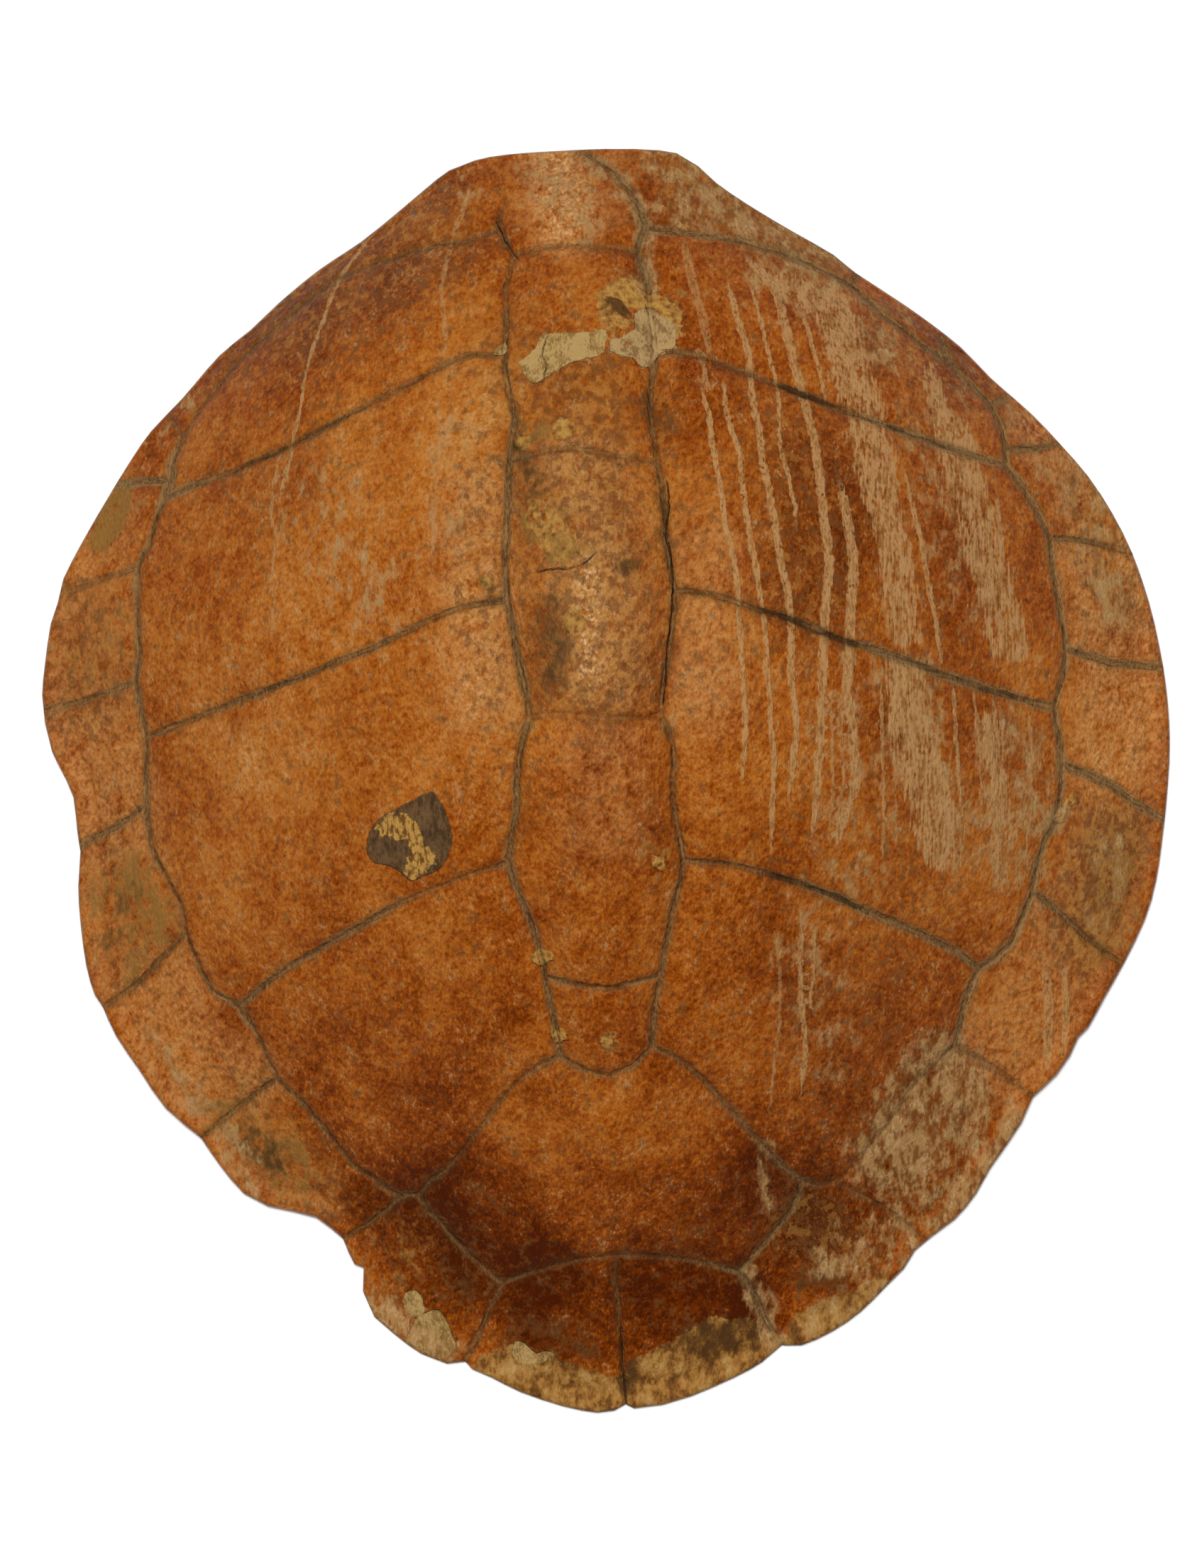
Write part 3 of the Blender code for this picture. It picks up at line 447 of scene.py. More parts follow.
DUSTS = strokes(
    (20, 12, 0.62, (45, 435), (75, 410), (120, 385), (155, 365)),
    (12, 10, 0.7, (45, 398), (90, 392)),
    (7, 5, 0.85, (-18, 440), (8, 422), (22, 405), (28, 385), (26, 360), (30, 345)),
    (16, 12, 0.45, (-48, 425), (-28, 412), (-18, 390)),
    (22, 16, 0.6, (120, 362), (160, 340), (185, 300)),
    (12, 10, 0.2, (205, 325), (250, 288), (290, 255)),
    (20, 16, 0.35, (320, 225), (350, 180)),
    (12, 10, 0.55, (352, 195), (345, 150), (360, 120)),
    (18, 12, 0.6, (215, 75), (215, 40), (222, 10), (232, -10), (240, -30)),
    (24, 16, 0.55, (285, 30), (288, -20), (286, -55)),
    (34, 18, 0.24, (165, 75), (172, 20), (176, -50)),
    (26, 14, 0.36, (232, 250), (242, 200), (250, 130)),
    (16, 12, 0.35, (350, -60), (352, -95)),
    (9, 4, 0.7, (357, -46)),
    (8, 6, 0.4, (316, -92), (300, -60)),
    (34, 10, 0.82, (235, -215), (205, -262)),
    (22, 12, 0.6, (262, -232), (215, -300)),
    (8, 8, 0.9, (238, -178), (222, -204), (190, -250)),
    (8, 8, 0.95, (288, -240), (262, -282), (232, -312)),
    (14, 9, 0.35, (172, -322), (200, -314)),
    (8, 6, 0.5, (150, -346), (174, -336)),
    (14, 9, 0.4, (196, -352), (160, -374)),
    (18, 10, 0.55, (200, -315), (222, -335)),
    (14, 9, 0.3, (178, -365), (150, -385)),
    (7, 4, 0.7, (150, -335), (162, -345)),
    (5, 5, 0.6, (112, -255), (112, -300)),
    (9, 6, 0.7, (100, -350), (118, -392)),
    (30, 24, 0.32, (-200, 195), (-165, 130)),
    (18, 14, 0.25, (-110, 240), (-110, 170)),
    (16, 12, 0.4, (-320, 250), (-300, 275)),
    (10, 8, 0.45, (-320, -185), (-300, -215), (-285, -228)),
    (10, 7, 0.6, (-268, -248), (-258, -265), (-250, -285)),
    (12, 10, 0.35, (-120, 440), (-98, 410)),
    (13, 7, 0.75, (-162, -368), (-138, -392), (-112, -404)),
    (30, 24, 0.25, (135, -90), (150, -180)),
    (8, 4, 0.8, (320, -22), (312, -32)),
    (7, 4, 0.6, (44, 36)),
)
CRUSTS = strokes(
    (9, 4, 1, (2, 335), (14, 343), (26, 338), (36, 330)),
    (6, 3, 1, (0, 322), (14, 320)),
    (5, 3, 1, (44, 330), (50, 316)),
    (8, 4, 1, (-30, 245)),
    (6, 4, 1, (-58, 236)),
    (14, 8, 0.6, (-46, 186), (-30, 162)),
    (7, 5, 0.4, (-38, 100), (-30, 66)),
    (3, 1.5, 1, (327, -13), (318, -27)),
    (9, 4, 0.9, (-22, 110)),
    (6, 3, 0.8, (-84, 138)),
    (6, 3, 1, (1.5, -181.5)),
    (5.5, 1.5, 1.6, (-45, -123)),
    (4.5, 1.5, 1.5, (-33, -178)),
    (5, 2.5, 1.2, (38, -58)),
)
PATINAS = strokes(
    (40, 22, 0.9, (-20, 275), (-15, 200)),
    (40, 22, 0.95, (-15, 200), (-5, 130), (-5, 75)),
    (34, 24, 0.7, (-70, 300), (-60, 215)),
    (20, 16, 0.7, (36, 262), (40, 200), (50, 110)),
    (26, 22, 0.35, (78, 200), (72, 110), (66, 60)),
    (22, 16, 0.7, (-88, 240), (-84, 140), (-76, 60)),
    (14, 10, 0.8, (-58, 215), (-52, 140), (-44, 60)),
    (20, 18, 0.45, (-70, 160), (-66, 60), (-60, -20)),
    (30, 22, 0.4, (-150, -320), (-110, -350)),
    (30, 22, 0.8, (140, -310), (180, -340)),
    (26, 20, 0.7, (-345, -60), (-330, -130)),
    (26, 20, 0.7, (-250, -230), (-200, -290)),
    (30, 24, 1.1, (355, -40), (340, -110)),
    (26, 20, 0.8, (345, 200), (360, 130)),
    (40, 30, 0.7, (130, 230), (140, 120)),
    (40, 30, 0.5, (180, 230), (210, 120)),
    (60, 40, 0.4, (200, 40), (190, -60)),
    (60, 40, 0.4, (160, -110), (180, -220)),
    (50, 36, 0.8, (-220, 330), (-130, 380)),
    (30, 22, 0.9, (60, 425), (150, 375)),
    (34, 20, 0.7, (-370, 110), (-360, 60)),
    (40, 30, 0.35, (-200, 240), (-240, 200)),
    (30, 24, 0.6, (190, 320), (250, 270)),
)

# Painted highlights, pale scuffs, and places that are lighter or darker than the rest, partly painted light
# and shade
PAINTED_HIGHLIGHTS = strokes(
    (30, 26, 0.65, (-20, 215), (-5, 130), (-5, 75)),
    (11, 12, 1.4, (-14, 150), (-12, 80)),
    (24, 24, 0.4, (70, 160), (66, 60)),
    (24, 24, 0.6, (-90, 200), (-88, 60)),
    (22, 16, 0.85, (-36, 440), (-28, 392)),
    (16, 16, 0.25, (5, 430), (-5, 400)),
    (30, 26, 0.25, (0, 20), (0, -30)),
    (30, 16, 0.3, (-355, 190), (-365, 130)),
    (34, 14, 0.3, (-362, 110), (-365, 60)),
    (34, 14, 0.42, (-365, 50), (-352, 10), (-345, -40)),
    (34, 14, 0.3, (-340, -60), (-335, -130)),
    (34, 14, 0.4, (-318, -140), (-290, -205), (-262, -215)),
    (22, 14, 0.3, (-295, -200), (-240, -270), (-215, -290)),
    (30, 14, 0.52, (345, 205), (352, 130), (360, 60), (362, 20)),
    (30, 14, 0.38, (358, 20), (352, -50), (335, -100)),
    (34, 14, 0.35, (325, -110), (295, -170), (275, -205)),
    (20, 14, 0.5, (300, 250), (330, 215)),
)
SCUFFS = strokes(
    (42, 30, 1, (-200, 175), (-165, 120)),
    (26, 20, 0.6, (-240, 40), (-220, 90)),
    (30, 26, 0.35, (-135, 40), (-120, 0)),
    (40, 30, 0.4, (-140, 345), (-90, 395)),
    (40, 26, 0.6, (300, -10), (290, -60)),
    (30, 20, 0.7, (345, 180), (360, 100)),
    (40, 24, 0.8, (240, -200), (190, -300)),
    (30, 26, 0.6, (130, 350), (200, 300)),
)
# Lighter and darker places: mostly the horn's own colour, partly painted light where the highlight lies
# along the crest and painted shade on some steep slopes
TONES = strokes(
    (10, 22, 0.5, (-12, 150), (-10, 75)),
    (60, 60, 0.46, (-110, 230), (-180, 165)),
    (30, 20, 0.5, (350, 60), (352, 20)),
    (40, 35, 0.4, (-90, 95), (-95, 20)),
    (60, 60, 0.38, (-200, 20), (-250, 60)),
    (40, 40, 0.25, (-240, -30), (-270, -60)),
    (35, 30, 0.25, (65, 90), (66, 20)),
    (28, 26, 0.15, (70, 200), (62, 150)),
    (40, 30, -0.65, (140, 200), (150, 120)),
    (40, 40, -0.4, (-130, 400), (-250, 300)),
    (60, 50, -0.15, (-140, -200), (-165, -245)),
    (45, 30, -0.25, (-150, -265), (-110, -240)),
    (36, 26, -1.1, (-98, -292), (-60, -330)),
    (40, 30, -0.8, (110, -290), (60, -325)),
    (26, 18, -0.75, (58, -368), (80, -366)),
    (30, 24, -0.25, (-365, 105), (-362, 60)),
    (40, 40, -0.15, (-5, 20), (0, -60)),
    (34, 20, -0.35, (360, -50), (345, -110)),
    (30, 30, -0.25, (0, -300), (0, -330)),
    (60, 40, -0.3, (170, -190), (150, -240)),
    (40, 30, -0.95, (-50, -375), (70, -370)),
    (26, 18, -0.7, (165, -325), (180, -350)),
    (26, 14, 0.35, (-36, 185), (-32, 150)),
    (16, 12, -0.4, (28, 150), (28, 80)),
    (14, 10, -0.5, (-48, 210), (-50, 130), (-42, 60)),
    (40, 40, -0.15, (0, -80), (0, -150)),
    (30, 24, -0.85, (-150, -310), (-120, -350)),
    (30, 24, -0.6, (140, -310), (130, -350)),
    (30, 30, -0.2, (230, 190), (240, 130)),
    (34, 20, -0.5, (240, -215), (205, -290)),
    (30, 25, -0.35, (200, 320), (225, 280)),
    (30, 30, 0.3, (-90, 280), (-95, 240)),
    (30, 24, 0.2, (300, -150), (320, -130)),
    (30, 30, 0.3, (265, -60), (280, -20)),
    (30, 24, 0.15, (-315, -170), (-290, -205)),
)

# The tables whose strongest stroke is stored as it is
SOFT_MARKS = {
    Field.SEAM_FAINT: SEAM_FAINTER,
    Field.SEAM_DUST: SEAM_DUSTY,
    Field.SEAM_DARK: SEAM_BLACK,
    Field.STAIN: STAINS,
    Field.DUST: DUSTS,
    Field.CRUST: CRUSTS,
    Field.PATINA: PATINAS,
    Field.SCUFF: SCUFFS,
    Field.PAINTED_HIGHLIGHT: PAINTED_HIGHLIGHTS,
}

# The outlines whose depth is stored as it is
AREA_MARKS = {
    Field.BONE: BARE_BONE,
    Field.GREY: (PEELED[1],),
    Field.WORN: WORN_EDGE,
    Field.SCALE: (LIFTED_SCALE,),
    Field.GOLD: (SCALE_GOLD,),
}


def catmull(points: Sequence[Point], step: float, notches: set[Point] | None = None) -> np.ndarray:
    """A curve through the points, each of which stays a point of it.

    Args:
        points: the points in plan.
        step: the longest piece of the curve, about.
        notches: points that keep a corner.

    Returns:
        The curve's points, one row each.
    """
    sharp = notches or set()
    rows = np.array(points, float)
    corner = [tuple(p) in sharp for p in rows]
    corner[0] = True
    corner[-1] = True
    curve = [rows[0]]
    for i in range(len(rows) - 1):
        start, end = rows[i], rows[i + 1]
        before = start if corner[i] else rows[i - 1]
        after = end if corner[i + 1] else rows[i + 2]
        lead = (end - before) * 0.5
        trail = (after - start) * 0.5
        parts = max(1, round(float(np.linalg.norm(end - start)) / step))
        for k in range(1, parts + 1):
            t = k / parts
            t2, t3 = t * t, t * t * t
            curve.append(
                start * (2 * t3 - 3 * t2 + 1) + lead * (t3 - 2 * t2 + t)
                + end * (3 * t2 - 2 * t3) + trail * (t3 - t2)
            )
    return np.array(curve)


def segments(line: np.ndarray) -> np.ndarray:
    """The line's pieces, one row of start and end each."""
    return np.hstack([line[:-1], line[1:]])


def ring_segments(ring: np.ndarray) -> np.ndarray:
    """The closed ring's pieces, one row of start and end each."""
    return np.hstack([ring, np.roll(ring, -1, axis=0)])


def nearest(
    points: np.ndarray, segs: np.ndarray, block_size: int = 2000,
) -> tuple[np.ndarray, np.ndarray, np.ndarray, np.ndarray]:
    """How the points lie to the nearest of the segments.

    Args:
        points: plan points.
        segs: rows of start and end.
        block_size: how many points are looked at together.

    Returns:
        The distance, the offset across the segment (its sign is the side), the segment's row
        and how far along it the nearest place is.
    """
    start = segs[:, :2]
    along = segs[:, 2:] - start
    length2 = np.maximum((along ** 2).sum(axis=1), TINY)
    found = []
    for first in range(0, len(points), block_size):
        block = points[first:first + block_size, None, :] - start[None]
        t = np.clip((block * along[None]).sum(axis=2) / length2, 0, 1)
        square = ((block - t[:, :, None] * along[None]) ** 2).sum(axis=2)
        row = square.argmin(axis=1)
        pick = np.arange(len(row))
        away = block[pick, row]
        side = along[row, 0] * away[:, 1] - along[row, 1] * away[:, 0]
        length = np.sqrt(length2[row])
        found.append((np.sqrt(square[pick, row]), side / length, row, t[pick, row] * length))
    distance, offset, row, reach = (np.concatenate(column) for column in zip(*found))
    return distance, offset, row, reach


def segment_distance(points: np.ndarray, segs: np.ndarray) -> np.ndarray:
    """The distance from each point to the nearest of the segments."""
    return nearest(points, segs)[0]


def inside(points: np.ndarray, ring: np.ndarray) -> np.ndarray:
    """Which points lie inside the ring.

    Args:
        points: plan points.
        ring: the ring's points, one row each.

    Returns:
        True or False a point.
    """
    x, y = points[:, :1], points[:, 1:]
    x0, y0 = ring[:, 0], ring[:, 1]
    x1, y1 = np.roll(x0, -1), np.roll(y0, -1)
    spans = (y0 > y) != (y1 > y)
    rise = np.where(y1 == y0, TINY, y1 - y0)
    return (spans & (x < (x1 - x0) * (y - y0) / rise + x0)).sum(axis=1) % 2 == 1


def ease(t: np.ndarray) -> np.ndarray:
    """A smooth step from 0 to 1."""
    t = np.clip(t, 0, 1)
    return t * t * (3 - 2 * t)


def climb(value: np.ndarray, start: float, length: float) -> np.ndarray:
    """A smooth step that begins at the start; with a length below 0 it climbs downwards."""
    return ease((value - start) / length)


def bump(distance: np.ndarray, reach: float) -> np.ndarray:
    """A smooth hump, 1 at no distance."""
    return np.exp(-((distance / reach) ** 2))


def blurred(row: np.ndarray, reach: float, half: int) -> np.ndarray:
    """The row of values smoothed.

    Args:
        row: the values.
        reach: how far the smoothing reaches, in places of the row.
        half: how many places on each side are looked at.

    Returns:
        As many values.
    """
    weight = bump(np.arange(-half, half + 1), reach)
    return np.convolve(row, weight / weight.sum(), mode="same")


def rough(points: np.ndarray, reach: float, seed: float) -> np.ndarray:
    """Gentle unevenness between about -1 and 1.

    Args:
        points: plan points in millimetres.
        reach: the size of its swells.
        seed: which unevenness it is.

    Returns:
        One value a point.
    """
    finer, other = 2.1, seed + 7
    return np.array([
        noise(Vector((u, v, seed))) + 0.5 * noise(Vector((finer * u, finer * v, other)))
        for u, v in points / reach
    ])


@dataclass
class Plan:
    """The shell seen from above: its free edge, its seams and how points lie to them."""

    edge_step: float = 14.0
    seam_step: float = 13.5
    seam_end: float = 6.0
    seam_apart: float = 700.0
    same_point: float = 4.0
    apex_y: float = 60.0
    blur: float = 14.0
    blur_half: int = 50
    bearing_range: int = 540
    bearing_parts: int = 10
    past_edge: float = 1.2
    edge_power: float = 6.0
    seams: list[np.ndarray] = field(init=False)
    outline: np.ndarray = field(init=False)
    centre: np.ndarray = field(init=False)

    def __post_init__(self) -> None:
        """Works out the curves through the traced points."""
        lines = (
            VERTEBRAL_LEFT, VERTEBRAL_RIGHT, TAIL_LEFT, TAIL_RIGHT, MARGINAL_LEFT,
            MARGINAL_RIGHT, *VERTEBRAL_CROSS, *COSTAL_CROSS, *MARGINAL_CROSS,
        )
        self.seams = [catmull(line, self.seam_step) for line in lines]
        self.outline = self.with_seam_ends(self.closed_outline())
        self.centre = (self.outline.min(axis=0) + self.outline.max(axis=0)) / 2
        self.seam_segs = np.vstack([segments(line) for line in self.seams])
        lengths = [np.hypot(*np.diff(line, axis=0).T) for line in self.seams]
        self.seam_start = np.concatenate([
            np.cumsum(length) - length + self.seam_apart * i for i, length in enumerate(lengths)
        ])
        self.edge_segs = ring_segments(self.outline)
        self.side_segs = np.vstack([segments(self.seams[0]), segments(self.seams[1])])
        self.traced, self.even = self.radii()

    def closed_outline(self) -> np.ndarray:
        """The free edge as one ring.

        Returns:
            The ring's points, anticlockwise.
        """
        notches = {(float(x), float(y)) for x, y in NOTCHES}
        halves = []
        for side, other in ((LEFT_EDGE, RIGHT_EDGE), (RIGHT_EDGE, LEFT_EDGE)):
            curve = catmull((other[1],) + side, self.edge_step, notches)
            start = np.abs(curve - side[0]).sum(axis=1).argmin()
            halves.append(curve[start:])
        return np.vstack([halves[0][:-1], halves[1][::-1][:-1]])

    def with_seam_ends(self, ring: np.ndarray) -> np.ndarray:
        """The ring with a point of its own wherever a seam runs out to it.

        Args:
            ring: the free edge.

        Returns:
            The ring with the further points.
        """
        for line in self.seams:
            for end in (line[0], line[-1]):
                along = np.roll(ring, -1, axis=0) - ring
                share = ((end - ring) * along).sum(axis=1) / (along ** 2).sum(axis=1)
                foot = ring + np.clip(share, 0, 1)[:, None] * along
                gap = np.hypot(*(foot - end).T)
                best = gap.argmin()
                to_points = np.hypot(*(ring - foot[best]).T).min()
                if gap[best] < self.seam_end and to_points > self.same_point:
                    ring = np.insert(ring, best + 1, foot[best], axis=0)
        return ring

    def radii(self) -> tuple[Callable, Callable]:
        """The plan radius from the apex against bearing.

        Returns:
            A function for the radius as traced, and one for it without the scallops.
        """
        x, y = self.outline.T
        bearing = np.degrees(np.arctan2(x, y - self.apex_y))
        order = np.argsort(bearing)
        turns = (-720, -360, 0, 360, 720)
        bearing = np.concatenate([bearing[order] + turn for turn in turns])
        radius = np.tile(np.hypot(x, y - self.apex_y)[order], len(turns))
        most = self.bearing_range
        margin = 2 * self.blur_half
        wide = np.interp(np.arange(-most - margin, most + margin + 1), bearing, radius)
        even = blurred(wide, self.blur, self.blur_half)[margin:-margin]
        grid = np.arange(-most, most + 1)
        parts = self.bearing_parts
        fine_grid = np.arange(-most * parts, most * parts + 1) / parts
        fine = np.interp(fine_grid, bearing, radius)
        return (
            lambda angle: np.interp(np.degrees(angle), fine_grid, fine),
            lambda angle: np.interp(np.degrees(angle), grid, even),
        )

    def polar(self, points: np.ndarray) -> tuple[np.ndarray, np.ndarray]:
        """How points lie to the apex.

        Args:
            points: plan points.

        Returns:
            The bearing from the apex, and the share of the way out, 1 at the free edge.
        """
        x, y = points[:, 0], points[:, 1] - self.apex_y
        bearing = np.arctan2(x, y)
        radius = np.hypot(x, y)
        even = self.even(bearing)
        near_edge = np.clip(np.clip(radius / even, 0, self.past_edge) ** self.edge_power, 0, 1)
        edge = even + (self.traced(bearing) - even) * near_edge
        return bearing, np.clip(radius / edge, 0, 1)

    def strip_share(self, points: np.ndarray) -> np.ndarray:
        """Where points lie across the vertebral row.

        Args:
            points: plan points.

        Returns:
            One value a point, -1 and 1 at the row's side seams.
        """
        low, high = (
            np.interp(points[:, 1], line[:, 1], line[:, 0])
            for line in (np.array(VERTEBRAL_LEFT)[::-1], np.array(VERTEBRAL_RIGHT)[::-1])
        )
        return (points[:, 0] - (low + high) / 2) / ((high - low) / 2)


@dataclass
class Form:
    """Heights of the upper and under faces over the plan, in millimetres.

    A pair is a height and a reach, or the start and length of a climb. A row goes with bearings.
    """

    plan: Plan
    dome_height: float = 231.0
    rim_thickness: float = 8.5
    wall: float = 9.0
    wall_most: float = 24.0
    rest_margin: float = 0.8
    bearing_blur: float = 7.0
    bearing_blur_half: int = 40
    bearings: Sequence[float] = (0, 18, 36, 54, 72, 92, 112, 132, 152, 168, 180)
    fullness_row: Sequence[float] = (1.02, 0.88, 0.78, 0.88, 1.30, 1.66, 1.72, 1.68, 1.60, 1.50, 1.48)
    roundness_row: Sequence[float] = (2.0, 2.0, 2.05, 2.15, 2.35, 2.50, 2.45, 2.35, 2.20, 2.12, 2.10)
    lift_row: Sequence[float] = (30, 24, 12, 5, 0, 0, 3, 6, 3, 0, 0)
    band_row: Sequence[float] = (24, 17, 11, 14, 34, 44, 46, 44, 46, 50, 52)
    rise_row: Sequence[float] = (30, 24, 18, 22, 40, 48, 50, 50, 54, 58, 60)
    groove: Span = (1.7, 2.6)
    crown: Span = (2.6, 18.0)
    swell: Span = (2.6, 55.0)
    scute_fade: Span = (6.0, 40.0)
    ridge: float = 4.6
    trough: Span = (2.0, 13.0)
    row_tail: Span = (-215.0, 60.0)
    row_head: Span = (437.0, -90.0)
    keel: Span = (4.5, 15.0)
    keel_head: Span = (-195.0, -50.0)
    keel_tail: Span = (-436.0, 60.0)
    keel_line: tuple[Sequence[float], Sequence[float]] = ((-445, -334, -200), (10, 6, 0))
    boss: Span = (5.0, 40.0)
    boss_centre: Point = (-24.0, 404.0)
    boss_fade: float = 20.0
    flare: Span = (62.0, 18.0)
    lip: Span = (1.8, 5.0)
    gutter: Span = (1.6, 15.0)
    lip_reach: float = 6.0
    uneven: Span = (1.3, 46.0)
    uneven_fade: float = 25.0
    uneven_seed: float = 3.0
    peel_depth: float = 1.1
    peel_edge: float = 1.5
    pit_centre: Point = (6.5, 332.0)
    pit_depth: float = 4.0
    pit_reach: Span = (3.4, 5.6)
    spine: Span = (7.0, 17.0)
    spine_head: Span = (355.0, -40.0)
    spine_tail: Span = (-330.0, 60.0)
    spine_line: tuple[Sequence[float], Sequence[float]] = ((-440, -200, 0, 370), (12, 0, -6, -22))
    waist: float = 0.2
    waist_apart: float = 73.0
    rib: Span = (5.0, 11.0)
    rib_swell: float = 0.3
    rib_bow: float = 8.0
    rib_step: float = 30.0
    rib_roots: Sequence[float] = (300, 238, 168, 92, 14, -62, -134, -200)
    rib_bearings: Sequence[float] = (38, 52, 66, 81, 97, 113, 129, 146)

    def __post_init__(self) -> None:
        """Turns the rows of values by bearing into smooth functions."""
        self.fullness = self.around(self.fullness_row)
        self.roundness = self.around(self.roundness_row)
        self.rough_lift = self.around(self.lift_row)
        self.band = self.around(self.band_row)
        self.rise = self.around(self.rise_row)

    def around(self, values: Sequence[float]) -> Callable:
        """One of the rows as a smooth function.

        Args:
            values: one value for each of the bearings.

        Returns:
            A function of the bearing in radians.
        """
        grid = np.arange(-self.plan.bearing_range, self.plan.bearing_range + 1)
        near = np.abs((grid + 180) % 360 - 180)
        row = blurred(np.interp(near, self.bearings, values), self.bearing_blur, self.bearing_blur_half)
        return lambda bearing: np.interp(np.degrees(bearing), grid, row)

    def lift(self, bearing: np.ndarray) -> np.ndarray:
        """The rim's height off the ground."""
        return np.maximum(self.rough_lift(bearing) - self.rest_margin, 0)

    def dome(self, points: np.ndarray) -> np.ndarray:
        """The even dome without any relief.

        Args:
            points: plan points.

        Returns:
            Its height at each point.
        """
        bearing, share = self.plan.polar(points)
        base = self.lift(bearing) + self.rim_thickness
        level = (1 - share ** self.roundness(bearing)) ** self.fullness(bearing)
        return base + (self.dome_height - base) * level

    def scutes(self, points: np.ndarray, edge: np.ndarray) -> np.ndarray:
        """The grooves, the pillowed scutes and the raised middle row.

        Args:
            points: plan points.
            edge: their distance from the free edge.

        Returns:
            The height over the dome at each point.
        """
        seam = segment_distance(points, self.plan.seam_segs)
        beside = segment_distance(points, self.plan.side_segs)
        fade = climb(edge, *self.scute_fade)
        height = -self.groove[0] * bump(seam, self.groove[1])
        height -= self.crown[0] * np.exp(-seam / self.crown[1]) * fade
        height += self.swell[0] * (1 - np.exp(-seam / self.swell[1])) * fade
        row = climb(points[:, 1], *self.row_tail) * climb(points[:, 1], *self.row_head)
        across = np.clip(1 - self.plan.strip_share(points) ** 2, 0, 1)
        height += self.ridge * across * row
        return height - self.trough[0] * bump(beside, self.trough[1]) * row * fade

    def features(self, points: np.ndarray, edge: np.ndarray) -> np.ndarray:
        """The keel at the tail, the boss at the head end, and the lip and gutter of the rim.

        Args:
            points: plan points.
            edge: their distance from the free edge.

        Returns:
            The height over the dome at each point.
        """
        x, y = points.T
        keel = climb(y, *self.keel_head) * climb(y, *self.keel_tail)
        height = self.keel[0] * bump(x - np.interp(y, *self.keel_line), self.keel[1]) * keel
        boss = np.hypot(x - self.boss_centre[0], y - self.boss_centre[1])
        height += self.boss[0] * bump(boss, self.boss[1]) * climb(edge, 0, self.boss_fade)
        bearing, _ = self.plan.polar(points)
        flared = climb(np.degrees(np.abs(bearing)), *self.flare)
        height += self.lip[0] * bump(edge - self.lip[1], self.lip_reach) * flared
        return height - self.gutter[0] * bump(edge - self.gutter[1], self.lip_reach) * flared

    def wear(self, points: np.ndarray, edge: np.ndarray) -> np.ndarray:
        """The uneven surface, the step of the peeled patches and the pit beside them.

        Args:
            points: plan points.
            edge: their distance from the free edge.

        Returns:
            The height over the dome at each point.
        """
        height = self.uneven[0] * rough(points, self.uneven[1], self.uneven_seed)
        height *= climb(edge, 0, self.uneven_fade)
        for patch in PEELED:
            ring = np.array(patch, float)
            gap = segment_distance(points, ring_segments(ring))
            height -= self.peel_depth * np.where(inside(points, ring), ease(gap / self.peel_edge), 0)
        pit = np.hypot(*((points - self.pit_centre) / self.pit_reach).T)
        return height - self.pit_depth * bump(pit, 1.0)

    def top(self, points: np.ndarray) -> np.ndarray:
        """The upper face.

        Args:
            points: plan points.

        Returns:
            Its height at each point.
        """
        edge = segment_distance(points, self.plan.edge_segs)
        relief = self.scutes(points, edge) + self.features(points, edge) + self.wear(points, edge)
        return self.dome(points) + relief

    def spine_x(self, y: np.ndarray | float) -> np.ndarray:
        """The animal's middle line, which leans a little across the plan."""
        return np.interp(y, *self.spine_line)

    def rib_lines(self) -> list[np.ndarray]:
        """Each rib's middle line in plan, from beside the spine out to the rim band.

        Returns:
            One curve a rib.
        """
        lines = []
        for root, turn in zip(self.rib_roots, self.rib_bearings):
            for side in (-1, 1):
                bearing = side * math.radians(turn)
                reach = float(self.plan.even(bearing) - self.band(bearing) * 0.9)
                end = np.array([
                    math.sin(bearing) * reach, self.plan.apex_y + math.cos(bearing) * reach,
                ])
                start = np.array([self.spine_x(root) + side * self.spine[1] * 0.6, root])
                middle = (start + end) / 2 + (0, self.rib_bow)
                lines.append(catmull((start, middle, end), self.rib_step))
        return lines

    def steepness(self, points: np.ndarray, delta: float = 1.5) -> np.ndarray:
        """How steep the even dome is.

        Args:
            points: plan points.
            delta: how far on each side it is looked at, in millimetres.

        Returns:
            The slope at each point, 0 where it is level.
        """
        return np.hypot(*(
            self.dome(points + move) - self.dome(points - move) for move in ((delta, 0), (0, delta))
        )) / (2 * delta)

    def under(self, points: np.ndarray) -> np.ndarray:
        """The under face: a flat band at the rim, then the hollow with its spine and ribs.

        Args:
            points: plan points.

        Returns:
            Its height at each point.
        """
        bearing, _ = self.plan.polar(points)
        wall = np.minimum(self.wall * np.sqrt(1 + self.steepness(points) ** 2), self.wall_most)
        rim = self.lift(bearing)
        x, y = points.T
        from_edge = self.plan.even(bearing) - np.hypot(x, y - self.plan.apex_y)
        rise = climb(from_edge, self.band(bearing), self.rise(bearing))
        height = rim + np.maximum(self.dome(points) - wall - rim, 0) * rise
        spine = bump(x - self.spine_x(y), self.spine[1] * 0.75)
        spine *= climb(y, *self.spine_head) * climb(y, *self.spine_tail)
        joints = np.cos(2 * math.pi * (y - self.rib_roots[0]) / self.waist_apart)
        waist = 1 - self.waist + self.waist * joints
        ribs = np.zeros(len(points))
        for line in self.rib_lines():
            gap = segment_distance(points, segments(line))
            out = np.hypot(*(points - line[0]).T) / np.hypot(*(line[-1] - line[0]))
            swell = self.rib_swell * np.cos(2 * math.pi * np.clip(out, 0, 1))
            ribs = np.maximum(ribs, bump(gap, self.rib[1] * 0.7) * (1 - self.rib_swell + swell))
        return height - (self.spine[0] * spine * waist + self.rib[0] * ribs * (1 - spine)) * rise


